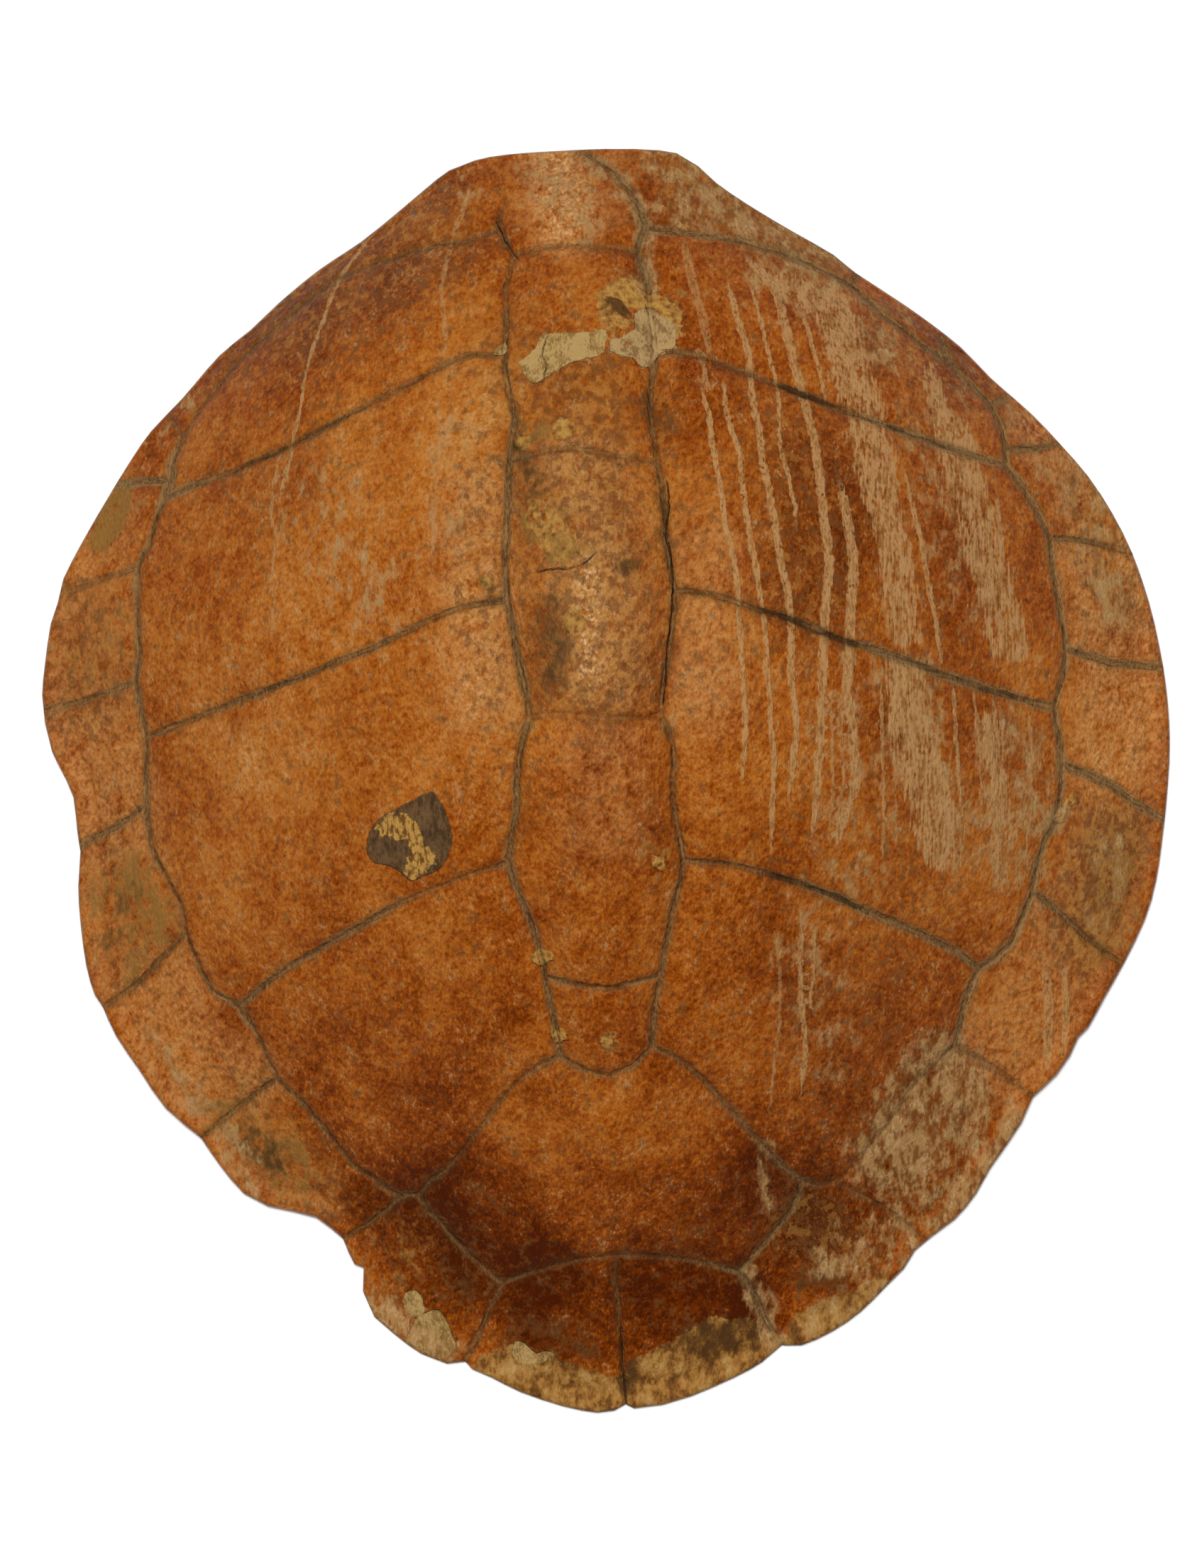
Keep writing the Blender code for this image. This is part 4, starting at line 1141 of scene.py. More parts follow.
@dataclass
class Markings:
    """What is stored on each vertex for the finishes to read."""

    plan: Plan
    near: float = 7.0
    near_fade: float = 3.0
    limit: float = 14.0
    seam_limit: float = 40.0
    rim_limit: float = 60.0
    area_step: float = 4.0
    line_step: float = 6.0
    run_ends: Span = (0.06, 0.10)
    run_least: float = 0.35
    ochre_edge: float = 4.0

    def values(self, points: np.ndarray) -> dict[Field, np.ndarray]:
        """Every field's value.

        Args:
            points: plan points in millimetres.

        Returns:
            One value a point for each field.
        """
        seam, side, row, reach = nearest(points, self.plan.seam_segs)
        rim = segment_distance(points, self.plan.edge_segs)
        crack, crack_near, _, _ = self.across(points, CRACKS)
        found = {
            Field.SEAM: np.minimum(seam, self.seam_limit),
            Field.SEAM_SIDE: np.clip(side, -self.seam_limit, self.seam_limit),
            Field.SEAM_ALONG: self.plan.seam_start[row] + reach,
            Field.RIM: np.minimum(rim, self.rim_limit),
            Field.CRACK: crack,
            Field.CRACK_NEAR: crack_near,
            Field.WASH: self.banded(points, WASHES),
            Field.TONE: np.sum([self.cover(points, stroke) for stroke in TONES], axis=0),
        }
        found.update(self.runs(points))
        found.update((which, self.soft(points, table)) for which, table in SOFT_MARKS.items())
        found.update((which, self.areas(points, rings)) for which, rings in AREA_MARKS.items())
        ochre = ease(self.areas(points, OCHRE_AREAS) / self.ochre_edge + 0.5)
        found[Field.OCHRE] = np.maximum(self.soft(points, OCHRES), ochre)
        return found

    def runs(self, points: np.ndarray) -> dict[Field, np.ndarray]:
        """How the points lie to the nearest run.

        Args:
            points: plan points in millimetres.

        Returns:
            The offset across it, its half width there, and how strongly it shows.
        """
        offset, near, which, share = self.across(points, [run.points for run in RUNS])
        half, sign, strength = np.array([(run.half, run.sign, run.strength) for run in RUNS])[which].T
        taper = climb(share, 0, self.run_ends[0]) * climb(share, 1, -self.run_ends[1])
        return {
            Field.RUN: offset * sign,
            Field.RUN_HALF: half * (self.run_least + (1 - self.run_least) * taper),
            Field.RUN_NEAR: near * strength * ease(taper * 4),
        }

    @staticmethod
    def gap(points: np.ndarray, stroke: Stroke) -> np.ndarray:
        """The distance from the stroke's line or spot.

        Args:
            points: plan points in millimetres.
            stroke: a band or a spot.

        Returns:
            One distance a point.
        """
        rows = np.array(stroke.points, float)
        if len(rows) == 1:
            return np.hypot(*(points - rows[0]).T)
        return segment_distance(points, segments(rows))

    def cover(self, points: np.ndarray, stroke: Stroke) -> np.ndarray:
        """How strongly the stroke covers each point, with its sign."""
        start = stroke.half + stroke.feather
        return climb(self.gap(points, stroke), start, -2 * stroke.feather) * stroke.strength

    def soft(self, points: np.ndarray, table: Sequence[Stroke]) -> np.ndarray:
        """How strongly the strongest of the strokes covers each point, and at least 0."""
        covers = [self.cover(points, stroke) for stroke in table]
        return np.maximum(np.max(covers, axis=0), 0)

    def banded(self, points: np.ndarray, table: Sequence[Stroke]) -> np.ndarray:
        """How far inside the nearest band each point lies, and less than 0 outside."""
        depths = [stroke.half - self.gap(points, stroke) for stroke in table]
        return np.clip(np.max(depths, axis=0), -self.limit, self.limit)

    def areas(self, points: np.ndarray, outlines: Sequence[Line]) -> np.ndarray:
        """How far inside the nearest outline each point lies.

        Args:
            points: plan points in millimetres.
            outlines: closed outlines in plan.

        Returns:
            One distance a point, less than 0 outside.
        """
        depths = []
        for outline in outlines:
            ring = catmull(outline + (outline[0],), self.area_step)[:-1]
            gap = segment_distance(points, ring_segments(ring))
            depths.append(np.where(inside(points, ring), gap, -gap))
        return np.clip(np.max(depths, axis=0), -self.limit, self.limit)

    def across(self, points: np.ndarray, lines: Sequence[Line]) -> tuple[np.ndarray, ...]:
        """How points lie to the nearest of the lines.

        Args:
            points: plan points in millimetres.
            lines: lines in plan.

        Returns:
            The offset across the line, how near it is (1 close by), which line it is, and
            the share of the way along it.
        """
        curves = [catmull(line, self.line_step) for line in lines]
        segs = np.vstack([segments(curve) for curve in curves])
        owner = np.concatenate([np.full(len(c) - 1, i) for i, c in enumerate(curves)])
        share = np.concatenate([(np.arange(len(c) - 1) + 0.5) / (len(c) - 1) for c in curves])
        distance, offset, row, _ = nearest(points, segs)
        close = climb(distance, self.near, -self.near_fade)
        return np.clip(offset, -self.near, self.near), close, owner[row], share[row]


@dataclass(frozen=True)
class Noise:
    """A noise over the surface.

    Its spots are reach millimetres wide and stretch times as long, with the long way turned by
    so many degrees. Detail is its octaves and roughness the finer ones' strength. The shift picks
    another pattern, and the lean moves the pattern along the shell, in lengths of its spots.
    """

    reach: float
    stretch: float = 1.0
    turn: float = 0.0
    detail: float = 2.0
    roughness: float = 0.5
    shift: float = 0.0
    lean: float = 0.0


class Graph:
    """A material's nodes, made with short calls that return sockets."""

    def __init__(self, name: str) -> None:
        """Makes the material.

        Args:
            name: the material's name.
        """
        self.material = bpy.data.materials.new(name)
        self.material.use_nodes = True
        self.tree = self.material.node_tree
        self.shader = self.tree.nodes["Principled BSDF"]
        self.place = self.add("ShaderNodeTexCoord").outputs["Object"]

    def add(self, kind: str) -> bpy.types.Node:
        """A new node of the kind."""
        return self.tree.nodes.new(kind)

    def put(self, socket: Socket, value: Value | Tint) -> None:
        """Gives an input its value.

        Args:
            socket: the input.
            value: a socket to link to it, or its own number or colour.
        """
        if isinstance(value, Socket):
            self.tree.links.new(value, socket)
        else:
            socket.default_value = (*value, 1.0) if isinstance(value, tuple) else value

    def field(self, which: Field) -> Socket:
        """The stored value of a field.

        Args:
            which: the field.

        Returns:
            Its socket.
        """
        node = self.add("ShaderNodeAttribute")
        node.attribute_name = which.value
        return node.outputs["Fac"]

    def math(self, operation: str, a: Value, b: Value = 0.0) -> Socket:
        """A sum of two values.

        Args:
            operation: Blender's name for the sum.
            a: a number or a socket.
            b: a number or a socket.

        Returns:
            The result's socket.
        """
        node = self.add("ShaderNodeMath")
        node.operation = operation
        self.put(node.inputs[0], a)
        self.put(node.inputs[1], b)
        return node.outputs[0]

    def joined(self, operation: str, terms: Sequence[Value]) -> Value:
        """All the terms put together by one kind of sum.

        Args:
            operation: Blender's name for the sum.
            terms: numbers and sockets.

        Returns:
            The result's socket.
        """
        found = terms[0]
        for term in terms[1:]:
            found = self.math(operation, found, term)
        return found

    def total(self, *terms: Value) -> Value:
        """The terms added up."""
        return self.joined("ADD", terms)

    def times(self, *terms: Value) -> Value:
        """The terms multiplied."""
        return self.joined("MULTIPLY", terms)

    def most(self, *terms: Value) -> Value:
        """The greatest of the terms."""
        return self.joined("MAXIMUM", terms)

    def size(self, value: Value) -> Socket:
        """The value without its sign."""
        return self.math("ABSOLUTE", value)

    def rest(self, value: Value) -> Socket:
        """What is left of 1."""
        return self.math("SUBTRACT", 1.0, value)

    def swings(self, value: Value, size: float) -> Value:
        """A noise value from 0 to 1 turned into one from -size to size."""
        return self.times(self.math("SUBTRACT", value, 0.5), 2 * size)

    def step(self, value: Value, low: float, high: float, to: float = 1.0) -> Socket:
        """A smooth step of the value from 0 at low to the given height at high.

        Args:
            value: the socket to read.
            low: where the step starts; it may be above high for a falling step.
            high: where it ends.
            to: its height.

        Returns:
            The step's socket.
        """
        node = self.add("ShaderNodeMapRange")
        node.interpolation_type = "SMOOTHSTEP"
        falls = low > high
        self.put(node.inputs["Value"], value)
        node.inputs["From Min"].default_value = min(low, high)
        node.inputs["From Max"].default_value = max(low, high)
        node.inputs["To Min"].default_value = to if falls else 0.0
        node.inputs["To Max"].default_value = 0.0 if falls else to
        return node.outputs["Result"]

    def mapped(self, scale: Colour, turn: float = 0.0, shift: float = 0.0, lean: float = 0.0) -> Socket:
        """The surface's place, scaled, turned about the upright and shifted.

        Args:
            scale: scale on each axis, so that 1 makes a unit of one millimetre.
            turn: degrees about Z.
            shift: how far along X, in scaled units, to get another pattern.
            lean: how far along Y, in scaled units.

        Returns:
            The vector's socket.
        """
        node = self.add("ShaderNodeMapping")
        self.put(node.inputs["Vector"], self.place)
        node.inputs["Scale"].default_value = tuple(s / MM for s in scale)
        node.inputs["Rotation"].default_value = (0, 0, math.radians(turn))
        node.inputs["Location"].default_value = (shift, lean, 0)
        return node.outputs["Vector"]

    def noisy(self, vector: Socket, detail: float, roughness: float) -> Socket:
        """Noise at a vector.

        Args:
            vector: where it is read.
            detail: octaves.
            roughness: how strong the finer octaves are.

        Returns:
            The noise's socket, from 0 to 1.
        """
        node = self.add("ShaderNodeTexNoise")
        self.put(node.inputs["Vector"], vector)
        node.inputs["Scale"].default_value = 1.0
        node.inputs["Detail"].default_value = detail
        node.inputs["Roughness"].default_value = roughness
        return node.outputs["Fac"]

    def cloud(self, kind: Noise) -> Socket:
        """Noise on the surface.

        Args:
            kind: what the noise is like.

        Returns:
            The noise's socket, from 0 to 1.
        """
        reach, stretch = kind.reach, kind.stretch
        scale = (1 / reach, 1 / (reach * stretch), 1 / (reach * (1 + stretch) / 2))
        vector = self.mapped(scale, kind.turn, kind.shift, kind.lean)
        return self.noisy(vector, kind.detail, kind.roughness)

    def strands(self, along: Value, across: Value, length: float, width: float) -> Socket:
        """Noise drawn out into strands along a line.

        Args:
            along: the place along the line, in millimetres.
            across: the offset from it, in millimetres.
            length: the strands' length in millimetres.
            width: their width in millimetres.

        Returns:
            The noise's socket, from 0 to 1.
        """
        place = self.add("ShaderNodeCombineXYZ")
        self.put(place.inputs["X"], self.times(along, 1 / length))
        self.put(place.inputs["Y"], self.times(across, 1 / width))
        return self.noisy(place.outputs["Vector"], 2.0, 0.5)

    def cells(self, reach: float, stretch: float, shift: float) -> Socket:
        """The distance to the middle of the cell, 0 at the middle.

        Args:
            reach: the cells' size in millimetres.
            stretch: how many times longer they are along the shell.
            shift: picks another pattern.

        Returns:
            The distance's socket.
        """
        node = self.add("ShaderNodeTexVoronoi")
        size = (1 / reach, 1 / (reach * stretch), 1 / reach)
        self.put(node.inputs["Vector"], self.mapped(size, 0.0, shift))
        node.inputs["Scale"].default_value = 1.0
        return node.outputs["Distance"]

    def mix(self, share: Value, a: Tint, b: Tint) -> Socket:
        """Colour a turning into colour b as the share goes from 0 to 1.

        Args:
            share: how much of b.
            a: a colour.
            b: a colour.

        Returns:
            The colour's socket.
        """
        node = self.add("ShaderNodeMix")
        node.data_type = "RGBA"
        for index, value in ((0, share), (6, a), (7, b)):
            self.put(node.inputs[index], value)
        return node.outputs[2]

    def blend(self, share: Value, a: Value, b: Value) -> Socket:
        """Value a turning into value b as the share goes from 0 to 1.

        Args:
            share: how much of b.
            a: a number or a socket.
            b: a number or a socket.

        Returns:
            The value's socket.
        """
        node = self.add("ShaderNodeMix")
        node.data_type = "FLOAT"
        for index, value in ((0, share), (2, a), (3, b)):
            self.put(node.inputs[index], value)
        return node.outputs[0]

    def shade(self, level: Value, low: float, high: float, deep: Colour, pale: Colour) -> Socket:
        """A deep colour that turns pale as the level climbs from low to high."""
        return self.mix(self.step(level, low, high), deep, pale)

    def ramp(self, value: Value, stops: Stops) -> Socket:
        """A colour that changes with the value.

        Args:
            value: the socket to read.
            stops: places and colours, in order.

        Returns:
            The colour's socket.
        """
        node = self.add("ShaderNodeValToRGB")
        self.put(node.inputs["Fac"], value)
        elements = node.color_ramp.elements
        while len(elements) < len(stops):
            elements.new(0.5)
        for element, (at, colour) in zip(elements, stops):
            element.position = at
            element.color = (*colour, 1.0)
        return node.outputs["Color"]

    def finish(self, colour: Tint, roughness: Value, height: Value, relief: float) -> bpy.types.Material:
        """Links the shader.

        Args:
            colour: base colour.
            roughness: roughness.
            height: the bump's height, where 1 is the relief.
            relief: in millimetres.

        Returns:
            The material.
        """
        node = self.add("ShaderNodeBump")
        node.inputs["Strength"].default_value = 1.0
        node.inputs["Distance"].default_value = relief * MM
        self.put(node.inputs["Height"], height)
        self.put(self.shader.inputs["Base Color"], colour)
        self.put(self.shader.inputs["Roughness"], roughness)
        self.put(self.shader.inputs["Normal"], node.outputs["Normal"])
        return self.material


@dataclass
class Surface:
    """A finish in the making: what its layers have given so far and the noises they share."""

    graph: Graph
    colour: Tint
    rough: Value
    height: Value
    fleck: Socket
    wrinkle: Socket
    mottle: Socket
    streak: Socket
    ripple: Socket
    fold: Socket
    bare: Value = 0.0
    dusty: Value = 0.0

    def lay(self, share: Value, tint: Tint) -> None:
        """Lays a colour over what is there, as strongly as the share."""
        self.colour = self.graph.mix(share, self.colour, tint)

    def raise_by(self, *terms: Value) -> None:
        """Adds the terms to the height."""
        self.height = self.graph.total(self.height, *terms)

    def dull(self, share: Value, roughness: float) -> None:
        """Turns the roughness into another, as strongly as the share."""
        self.rough = self.graph.blend(share, self.rough, roughness)


@dataclass(frozen=True)
class HornFinish:
    """Old, dusty, worn horn with its runs, stains and bare places.

    A strand is its length and width, and the other spans are the distances from a line where a
    step starts and ends, all in millimetres. The weights and thresholds in the methods are plain
    shares, of noises and fields that go from about 0 to 1.
    """

    stops: Stops = (
        (0.00, (0.055, 0.008, 0.0006)),
        (0.22, (0.122, 0.021, 0.001)),
        (0.42, (0.224, 0.045, 0.003)),
        (0.60, (0.312, 0.083, 0.007)),
        (0.78, (0.395, 0.142, 0.024)),
        (1.00, (0.520, 0.245, 0.078)),
    )
    # Colours of the painted highlight, from its deeper parts to its brightest glints
    painted_highlight_stops: Stops = (
        (0.28, (0.225, 0.082, 0.018)),
        (0.45, (0.350, 0.145, 0.038)),
        (0.57, (0.490, 0.230, 0.075)),
        (0.74, (0.700, 0.400, 0.180)),
    )
    amber: Colour = (0.440, 0.140, 0.008)
    brown: Colour = (0.130, 0.052, 0.014)
    painted_crease_shade: Colour = (0.045, 0.018, 0.006)
    # dark of the pits, partly real and partly painted shade
    pit: Colour = (0.075, 0.028, 0.007)
    scuff: Colour = (0.330, 0.185, 0.078)
    ochre: Colour = (0.300, 0.145, 0.032)
    ochre_deep: Colour = (0.130, 0.055, 0.012)
    stain: Colour = (0.070, 0.030, 0.009)
    dust: Colour = (0.310, 0.170, 0.062)
    dust_deep: Colour = (0.155, 0.070, 0.020)
    chalk: Colour = (0.440, 0.280, 0.130)
    run: Colour = (0.385, 0.205, 0.078)
    run_deep: Colour = (0.250, 0.110, 0.030)
    bone: Colour = (0.370, 0.235, 0.085)
    bone_deep: Colour = (0.200, 0.108, 0.030)
    grey: Colour = (0.360, 0.225, 0.092)
    grey_deep: Colour = (0.190, 0.105, 0.038)
    scale: Colour = (0.125, 0.066, 0.026)
    scale_deep: Colour = (0.050, 0.026, 0.012)
    gold: Colour = (0.400, 0.215, 0.050)
    core: Colour = (0.030, 0.014, 0.006)
    fibre: Colour = (0.240, 0.140, 0.054)
    fibre_deep: Colour = (0.085, 0.046, 0.016)
    grime: Colour = (0.085, 0.036, 0.010)
    flecks: Noise = Noise(1.3, 2.6, 10.0, 2.0, 0.55)
    wrinkles: Noise = Noise(4.0, 1.6, -12.0, 2.0, 0.6, 31.0)
    # The wrinkles moved a little along the shell, for their painted light and shade
    wrinkles_moved: Noise = Noise(4.0, 1.6, -12.0, 2.0, 0.6, 31.0, 0.2)
    mottles: Noise = Noise(11.0, 1.5, 8.0, 3.0, 0.6, 57.0)
    streaks: Noise = Noise(2.0, 4.2, 9.0, 2.0, 0.6, 13.0)
    ripples: Noise = Noise(2.4, 1.7, -16.0, 1.0, 0.5, 43.0)
    broad: Noise = Noise(46.0, 1.6, 0.0, 1.0, 0.5, 91.0)
    flakes: Noise = Noise(7.0, 1.25, 25.0, 3.0, 0.62, 5.0)
    folds: Noise = Noise(6.5, 2.0, 20.0, 2.0, 0.6, 71.0)
    ragged: Noise = Noise(5.0, 1.0, 0.0, 3.0, 0.6, 17.0)
    lumps: Noise = Noise(4.6, 1.0, 0.0, 1.0, 0.5, 61.0)
    swirls: Noise = Noise(4.6, 3.4, 6.0, 3.0, 0.62, 29.0)
    wavers: Noise = Noise(3.6, 1.8, 0.0, 2.0, 0.5, 37.0)
    drags: Noise = Noise(1.7, 10.0, 7.0, 2.0, 0.6, 77.0)
    fine_strand: Span = (20.0, 1.1)
    broad_strand: Span = (26.0, 9.0)
    run_edge: Span = (-0.35, 0.35)
    wash_edge: Span = (-2.6, 2.6)
    grime_reach: Span = (7.0, 0.5)
    fibre_edge: Span = (1.4, -1.2)
    core_reach: Span = (1.1, 0.3)
    black_reach: Span = (3.4, 0.6)
    crack_reach: Span = (0.7, 0.2)
    groove_reach: Span = (2.6, 0.4)
    split_reach: Span = (0.8, 0.2)
    tone_least: float = -1.4
    relief: float = 2.1
    ior: float = 1.5
    sheen: float = 0.05
    sheen_tint: Colour = (1.0, 0.74, 0.46)

    def build(self, name: str) -> bpy.types.Material:
        """Makes the material.

        Args:
            name: the material's name.

        Returns:
            The material.
        """
        g = Graph(name)
        s = self.horn(g)
        for layer in (self.patches, self.peeled, self.dirt, self.runs, self.seams, self.cracks):
            layer(g, s)
        g.shader.inputs["IOR"].default_value = self.ior
        g.shader.inputs["Specular IOR Level"].default_value = self.sheen
        g.shader.inputs["Specular Tint"].default_value = (*self.sheen_tint, 1.0)
        return g.finish(s.colour, s.rough, s.height, self.relief)

    def horn(self, g: Graph) -> Surface:
        """The horn's colour, from rust to peach, partly its own and partly painted light and shade, with its
        flecks, its pits partly darkened as painted shade, dark lines of painted shade along the folds, and a
        painted highlight with glints.

        Args:
            g: the material's nodes.

        Returns:
            The surface so far.
        """
        fleck, wrinkle, mottle, streak, ripple, flaky = (
            g.cloud(kind) for kind in (
                self.flecks, self.wrinkles, self.mottles, self.streaks, self.ripples, self.flakes,
            )
        )
        # Painted light and shade of the relief: the wrinkles less their moved copy, lighter on the sides
        # facing the head end and darker on the others
        painted_relief_shading = g.math("SUBTRACT", wrinkle, g.cloud(self.wrinkles_moved))
        fold = g.size(g.math("SUBTRACT", g.cloud(self.folds), 0.5))
        # The tone, partly painted light and shade, with noise; the ripples lighten their crests as painted
        # glints
        level = g.total(
            0.5,
            g.times(g.most(g.field(Field.TONE), self.tone_least), 0.34),
            g.swings(g.cloud(self.broad), 0.26),
            g.swings(mottle, 0.30),
            g.swings(wrinkle, 0.13),
            g.times(painted_relief_shading, 0.66),
            g.swings(ripple, 0.17),
            g.swings(fleck, 0.14),
        )
        rough = g.total(0.22, g.times(fleck, 0.16), g.times(mottle, 0.12))
        height = g.total(g.times(wrinkle, 0.75), g.times(fleck, 0.20), g.times(ripple, 0.36))
        colour = g.ramp(level, self.stops)
        s = Surface(g, colour, rough, height, fleck, wrinkle, mottle, streak, ripple, fold)
        s.lay(g.times(g.step(streak, 0.50, 0.72, 0.42), g.step(level, 0.10, 0.50)), self.amber)
        # Painted highlight: a pale sheen with glints on the ripples and the relief shading, laid where the
        # light would reflect on the crest, the head end and the margins
        painted_highlight = g.total(g.field(Field.PAINTED_HIGHLIGHT), g.step(level, 0.30, 0.65, 0.09))
        painted_highlight = g.times(painted_highlight, g.step(g.total(mottle, g.swings(wrinkle, 0.2)), 0.22, 0.56))
        glint = g.times(g.total(0.03, g.swings(ripple, 0.30), g.times(painted_relief_shading, 0.9)), g.field(Field.PAINTED_HIGHLIGHT))
        s.lay(painted_highlight, g.ramp(g.total(glint, 0.5), self.painted_highlight_stops))
        patina = g.field(Field.PATINA)
        worn = g.total(flaky, g.times(patina, 0.13), g.swings(fleck, 0.12), g.swings(mottle, 0.10))
        s.lay(g.step(worn, 0.52, 0.76, 0.75), self.brown)
        gilt = g.total(g.rest(flaky), g.times(patina, 0.12))
        s.lay(g.times(g.step(gilt, 0.60, 0.70, 0.55), patina), self.ochre)
        # Dark pits in the ripples' low places, partly real and partly painted shade of the relief
        s.lay(g.step(ripple, 0.36, 0.25, 0.30), self.pit)
        scuffed = g.times(g.field(Field.SCUFF), 0.08)
        pale = g.total(fleck, g.swings(ripple, 0.25), g.swings(mottle, 0.45), scuffed)
        s.lay(g.times(g.step(pale, 0.68, 0.80), g.step(level, 0.20, 0.50, 0.65)), self.scuff)
        # Painted shade: dark lines along the folds stand for the shade in narrow folds, which the relief
        # doesn't have
        painted_crease_shade = g.times(
            g.step(fold, 0.030, 0.004),
            g.step(g.total(mottle, g.times(patina, 0.12)), 0.56, 0.68),
            g.step(streak, 0.44, 0.54),
            0.4,
        )
        s.lay(painted_crease_shade, self.painted_crease_shade)
        return s

    def patches(self, g: Graph, s: Surface) -> None:
        """Lays on ochre and dark stains and the crust.

        Args:
            g: the material's nodes.
            s: the surface so far, which this changes.
        """
        uneven = g.swings(s.wrinkle, 0.7)
        ochre = g.field(Field.OCHRE)
        share = g.step(g.total(ochre, g.swings(s.mottle, 1.1), uneven), 0.35, 0.95)
        s.lay(g.times(share, g.step(ochre, 0.02, 0.3)), g.mix(s.fleck, self.ochre_deep, self.ochre))
        crust = g.field(Field.CRUST)
        lump = g.cloud(self.lumps)
        share = g.step(g.total(crust, g.swings(s.wrinkle, 1.0)), 0.30, 0.70)
        share = g.times(share, g.step(crust, 0.02, 0.25), 0.92)
        level = g.total(lump, g.swings(s.fleck, 0.12), g.times(crust, 0.10))
        s.lay(share, g.ramp(level, ((0.34, self.ochre_deep), (0.52, self.ochre), (0.74, self.gold))))
        s.bare = g.times(share, 0.85)
        s.raise_by(g.times(g.step(crust, 0.1, 0.7), lump, 1.2))
        stain = g.field(Field.STAIN)
        share = g.step(g.total(stain, g.swings(s.mottle, 0.9), uneven), 0.15, 1.10, 0.92)
        s.lay(g.times(share, g.step(stain, 0.02, 0.3)), self.stain)

    def peeled(self, g: Graph, s: Surface) -> None:
        """Lays on the places where the horn is gone or lifted.

        Args:
            g: the material's nodes.
            s: the surface so far, which this changes.
        """
        ragged = g.swings(g.cloud(self.ragged), 5.0)
        worn = g.step(g.total(g.field(Field.WORN), ragged), -0.8, 1.2, 0.9)
        level = g.total(
            s.mottle, g.swings(s.fleck, 0.12), g.swings(s.wrinkle, 0.25),
            g.times(g.field(Field.STAIN), -0.24),
        )
        s.lay(worn, g.ramp(level, (
            (0.26, self.stain), (0.38, self.ochre_deep), (0.54, self.ochre), (0.72, self.bone),
        )))
        bone = g.step(g.total(g.field(Field.BONE), g.times(ragged, 0.5)), -0.4, 0.6)
        level = g.total(s.mottle, g.swings(s.fleck, 0.35))
        s.lay(bone, g.shade(level, 0.34, 0.58, self.bone_deep, self.bone))
        grey = g.step(g.total(g.field(Field.GREY), ragged), -0.4, 0.6)
        level = g.total(s.mottle, g.swings(s.fleck, 0.30), g.swings(s.wrinkle, 0.30))
        s.lay(grey, g.shade(level, 0.30, 0.56, self.grey_deep, self.grey))
        scale = g.step(g.total(g.field(Field.SCALE), g.times(ragged, 0.35)), -0.4, 0.5)
        level = g.total(s.mottle, g.swings(s.streak, 0.3), g.swings(s.fleck, 0.2))
        tint = g.shade(level, 0.28, 0.70, self.scale_deep, self.scale)
        gold = g.step(g.total(g.field(Field.GOLD), g.times(ragged, 1.5)), -0.4, 0.8)
        level = g.total(s.wrinkle, g.swings(s.streak, 0.4), g.swings(s.mottle, 0.3))
        s.lay(scale, g.mix(gold, tint, g.shade(level, 0.34, 0.58, self.ochre_deep, self.gold)))
        s.bare = g.most(bone, grey, scale, g.times(worn, 0.7), s.bare)
        s.dull(s.bare, 0.72)
        gone = g.total(g.step(g.field(Field.BONE), -0.5, 0.5), g.step(g.field(Field.GREY), -0.5, 0.5))
        s.raise_by(g.times(gone, -0.5), g.step(g.field(Field.SCALE), -0.5, 0.5, 0.5))

    def dirt(self, g: Graph, s: Surface) -> None:
        """Lays on dust and the broad washes of dried muddy water.

        Args:
            g: the material's nodes.
            s: the surface so far, which this changes.
        """
        swirl = g.cloud(self.swirls)
        dust = g.field(Field.DUST)
        share = g.step(g.total(dust, g.swings(swirl, 0.9), g.swings(s.mottle, 0.9)), 0.10, 1.0, 0.88)
        share = g.times(share, g.step(dust, 0.02, 0.25))
        level = g.total(swirl, g.swings(s.mottle, 0.6), g.swings(s.streak, 0.30), g.swings(s.ripple, 0.3))
        s.lay(share, g.shade(level, 0.30, 0.68, self.dust_deep, self.dust))
        s.lay(g.times(g.step(s.fold, 0.040, 0.012), g.step(s.mottle, 0.46, 0.58), share, 0.55), self.chalk)
        drag = g.cloud(self.drags)
        waver = g.swings(g.cloud(self.wavers), 2.0)
        edge = g.total(g.field(Field.WASH), waver, g.swings(s.mottle, 5.0), g.swings(drag, 9.0))
        strand = g.total(drag, g.swings(swirl, 0.3), g.swings(s.ripple, 0.3))
        wash = g.times(g.step(edge, *self.wash_edge), g.step(strand, 0.22, 0.54, 0.90))
        level = g.total(drag, g.swings(s.mottle, 0.5), g.swings(s.ripple, 0.3))
        s.lay(wash, g.shade(level, 0.30, 0.64, self.run_deep, self.run))
        s.dusty = g.most(share, wash)

    def runs(self, g: Graph, s: Surface) -> None:
        """Lays on the narrow runs of dried muddy water.

        Args:
            g: the material's nodes.
            s: the surface so far, which this changes.
        """
        waver = g.swings(g.cloud(self.wavers), 2.0)
        across = g.size(g.total(g.field(Field.RUN), waver))
        inner = g.math("SUBTRACT", g.field(Field.RUN_HALF), across)
        body = g.times(g.step(inner, *self.run_edge), g.field(Field.RUN_NEAR))
        run = g.times(body, g.step(g.total(s.wrinkle, g.swings(s.fleck, 0.4)), 0.18, 0.44, 0.9))
        level = g.total(s.streak, g.swings(s.fleck, 0.3))
        s.lay(run, g.shade(level, 0.30, 0.60, self.run_deep, self.run))
        s.dull(g.most(s.dusty, run), 0.68)
        s.raise_by(g.times(body, 0.18))

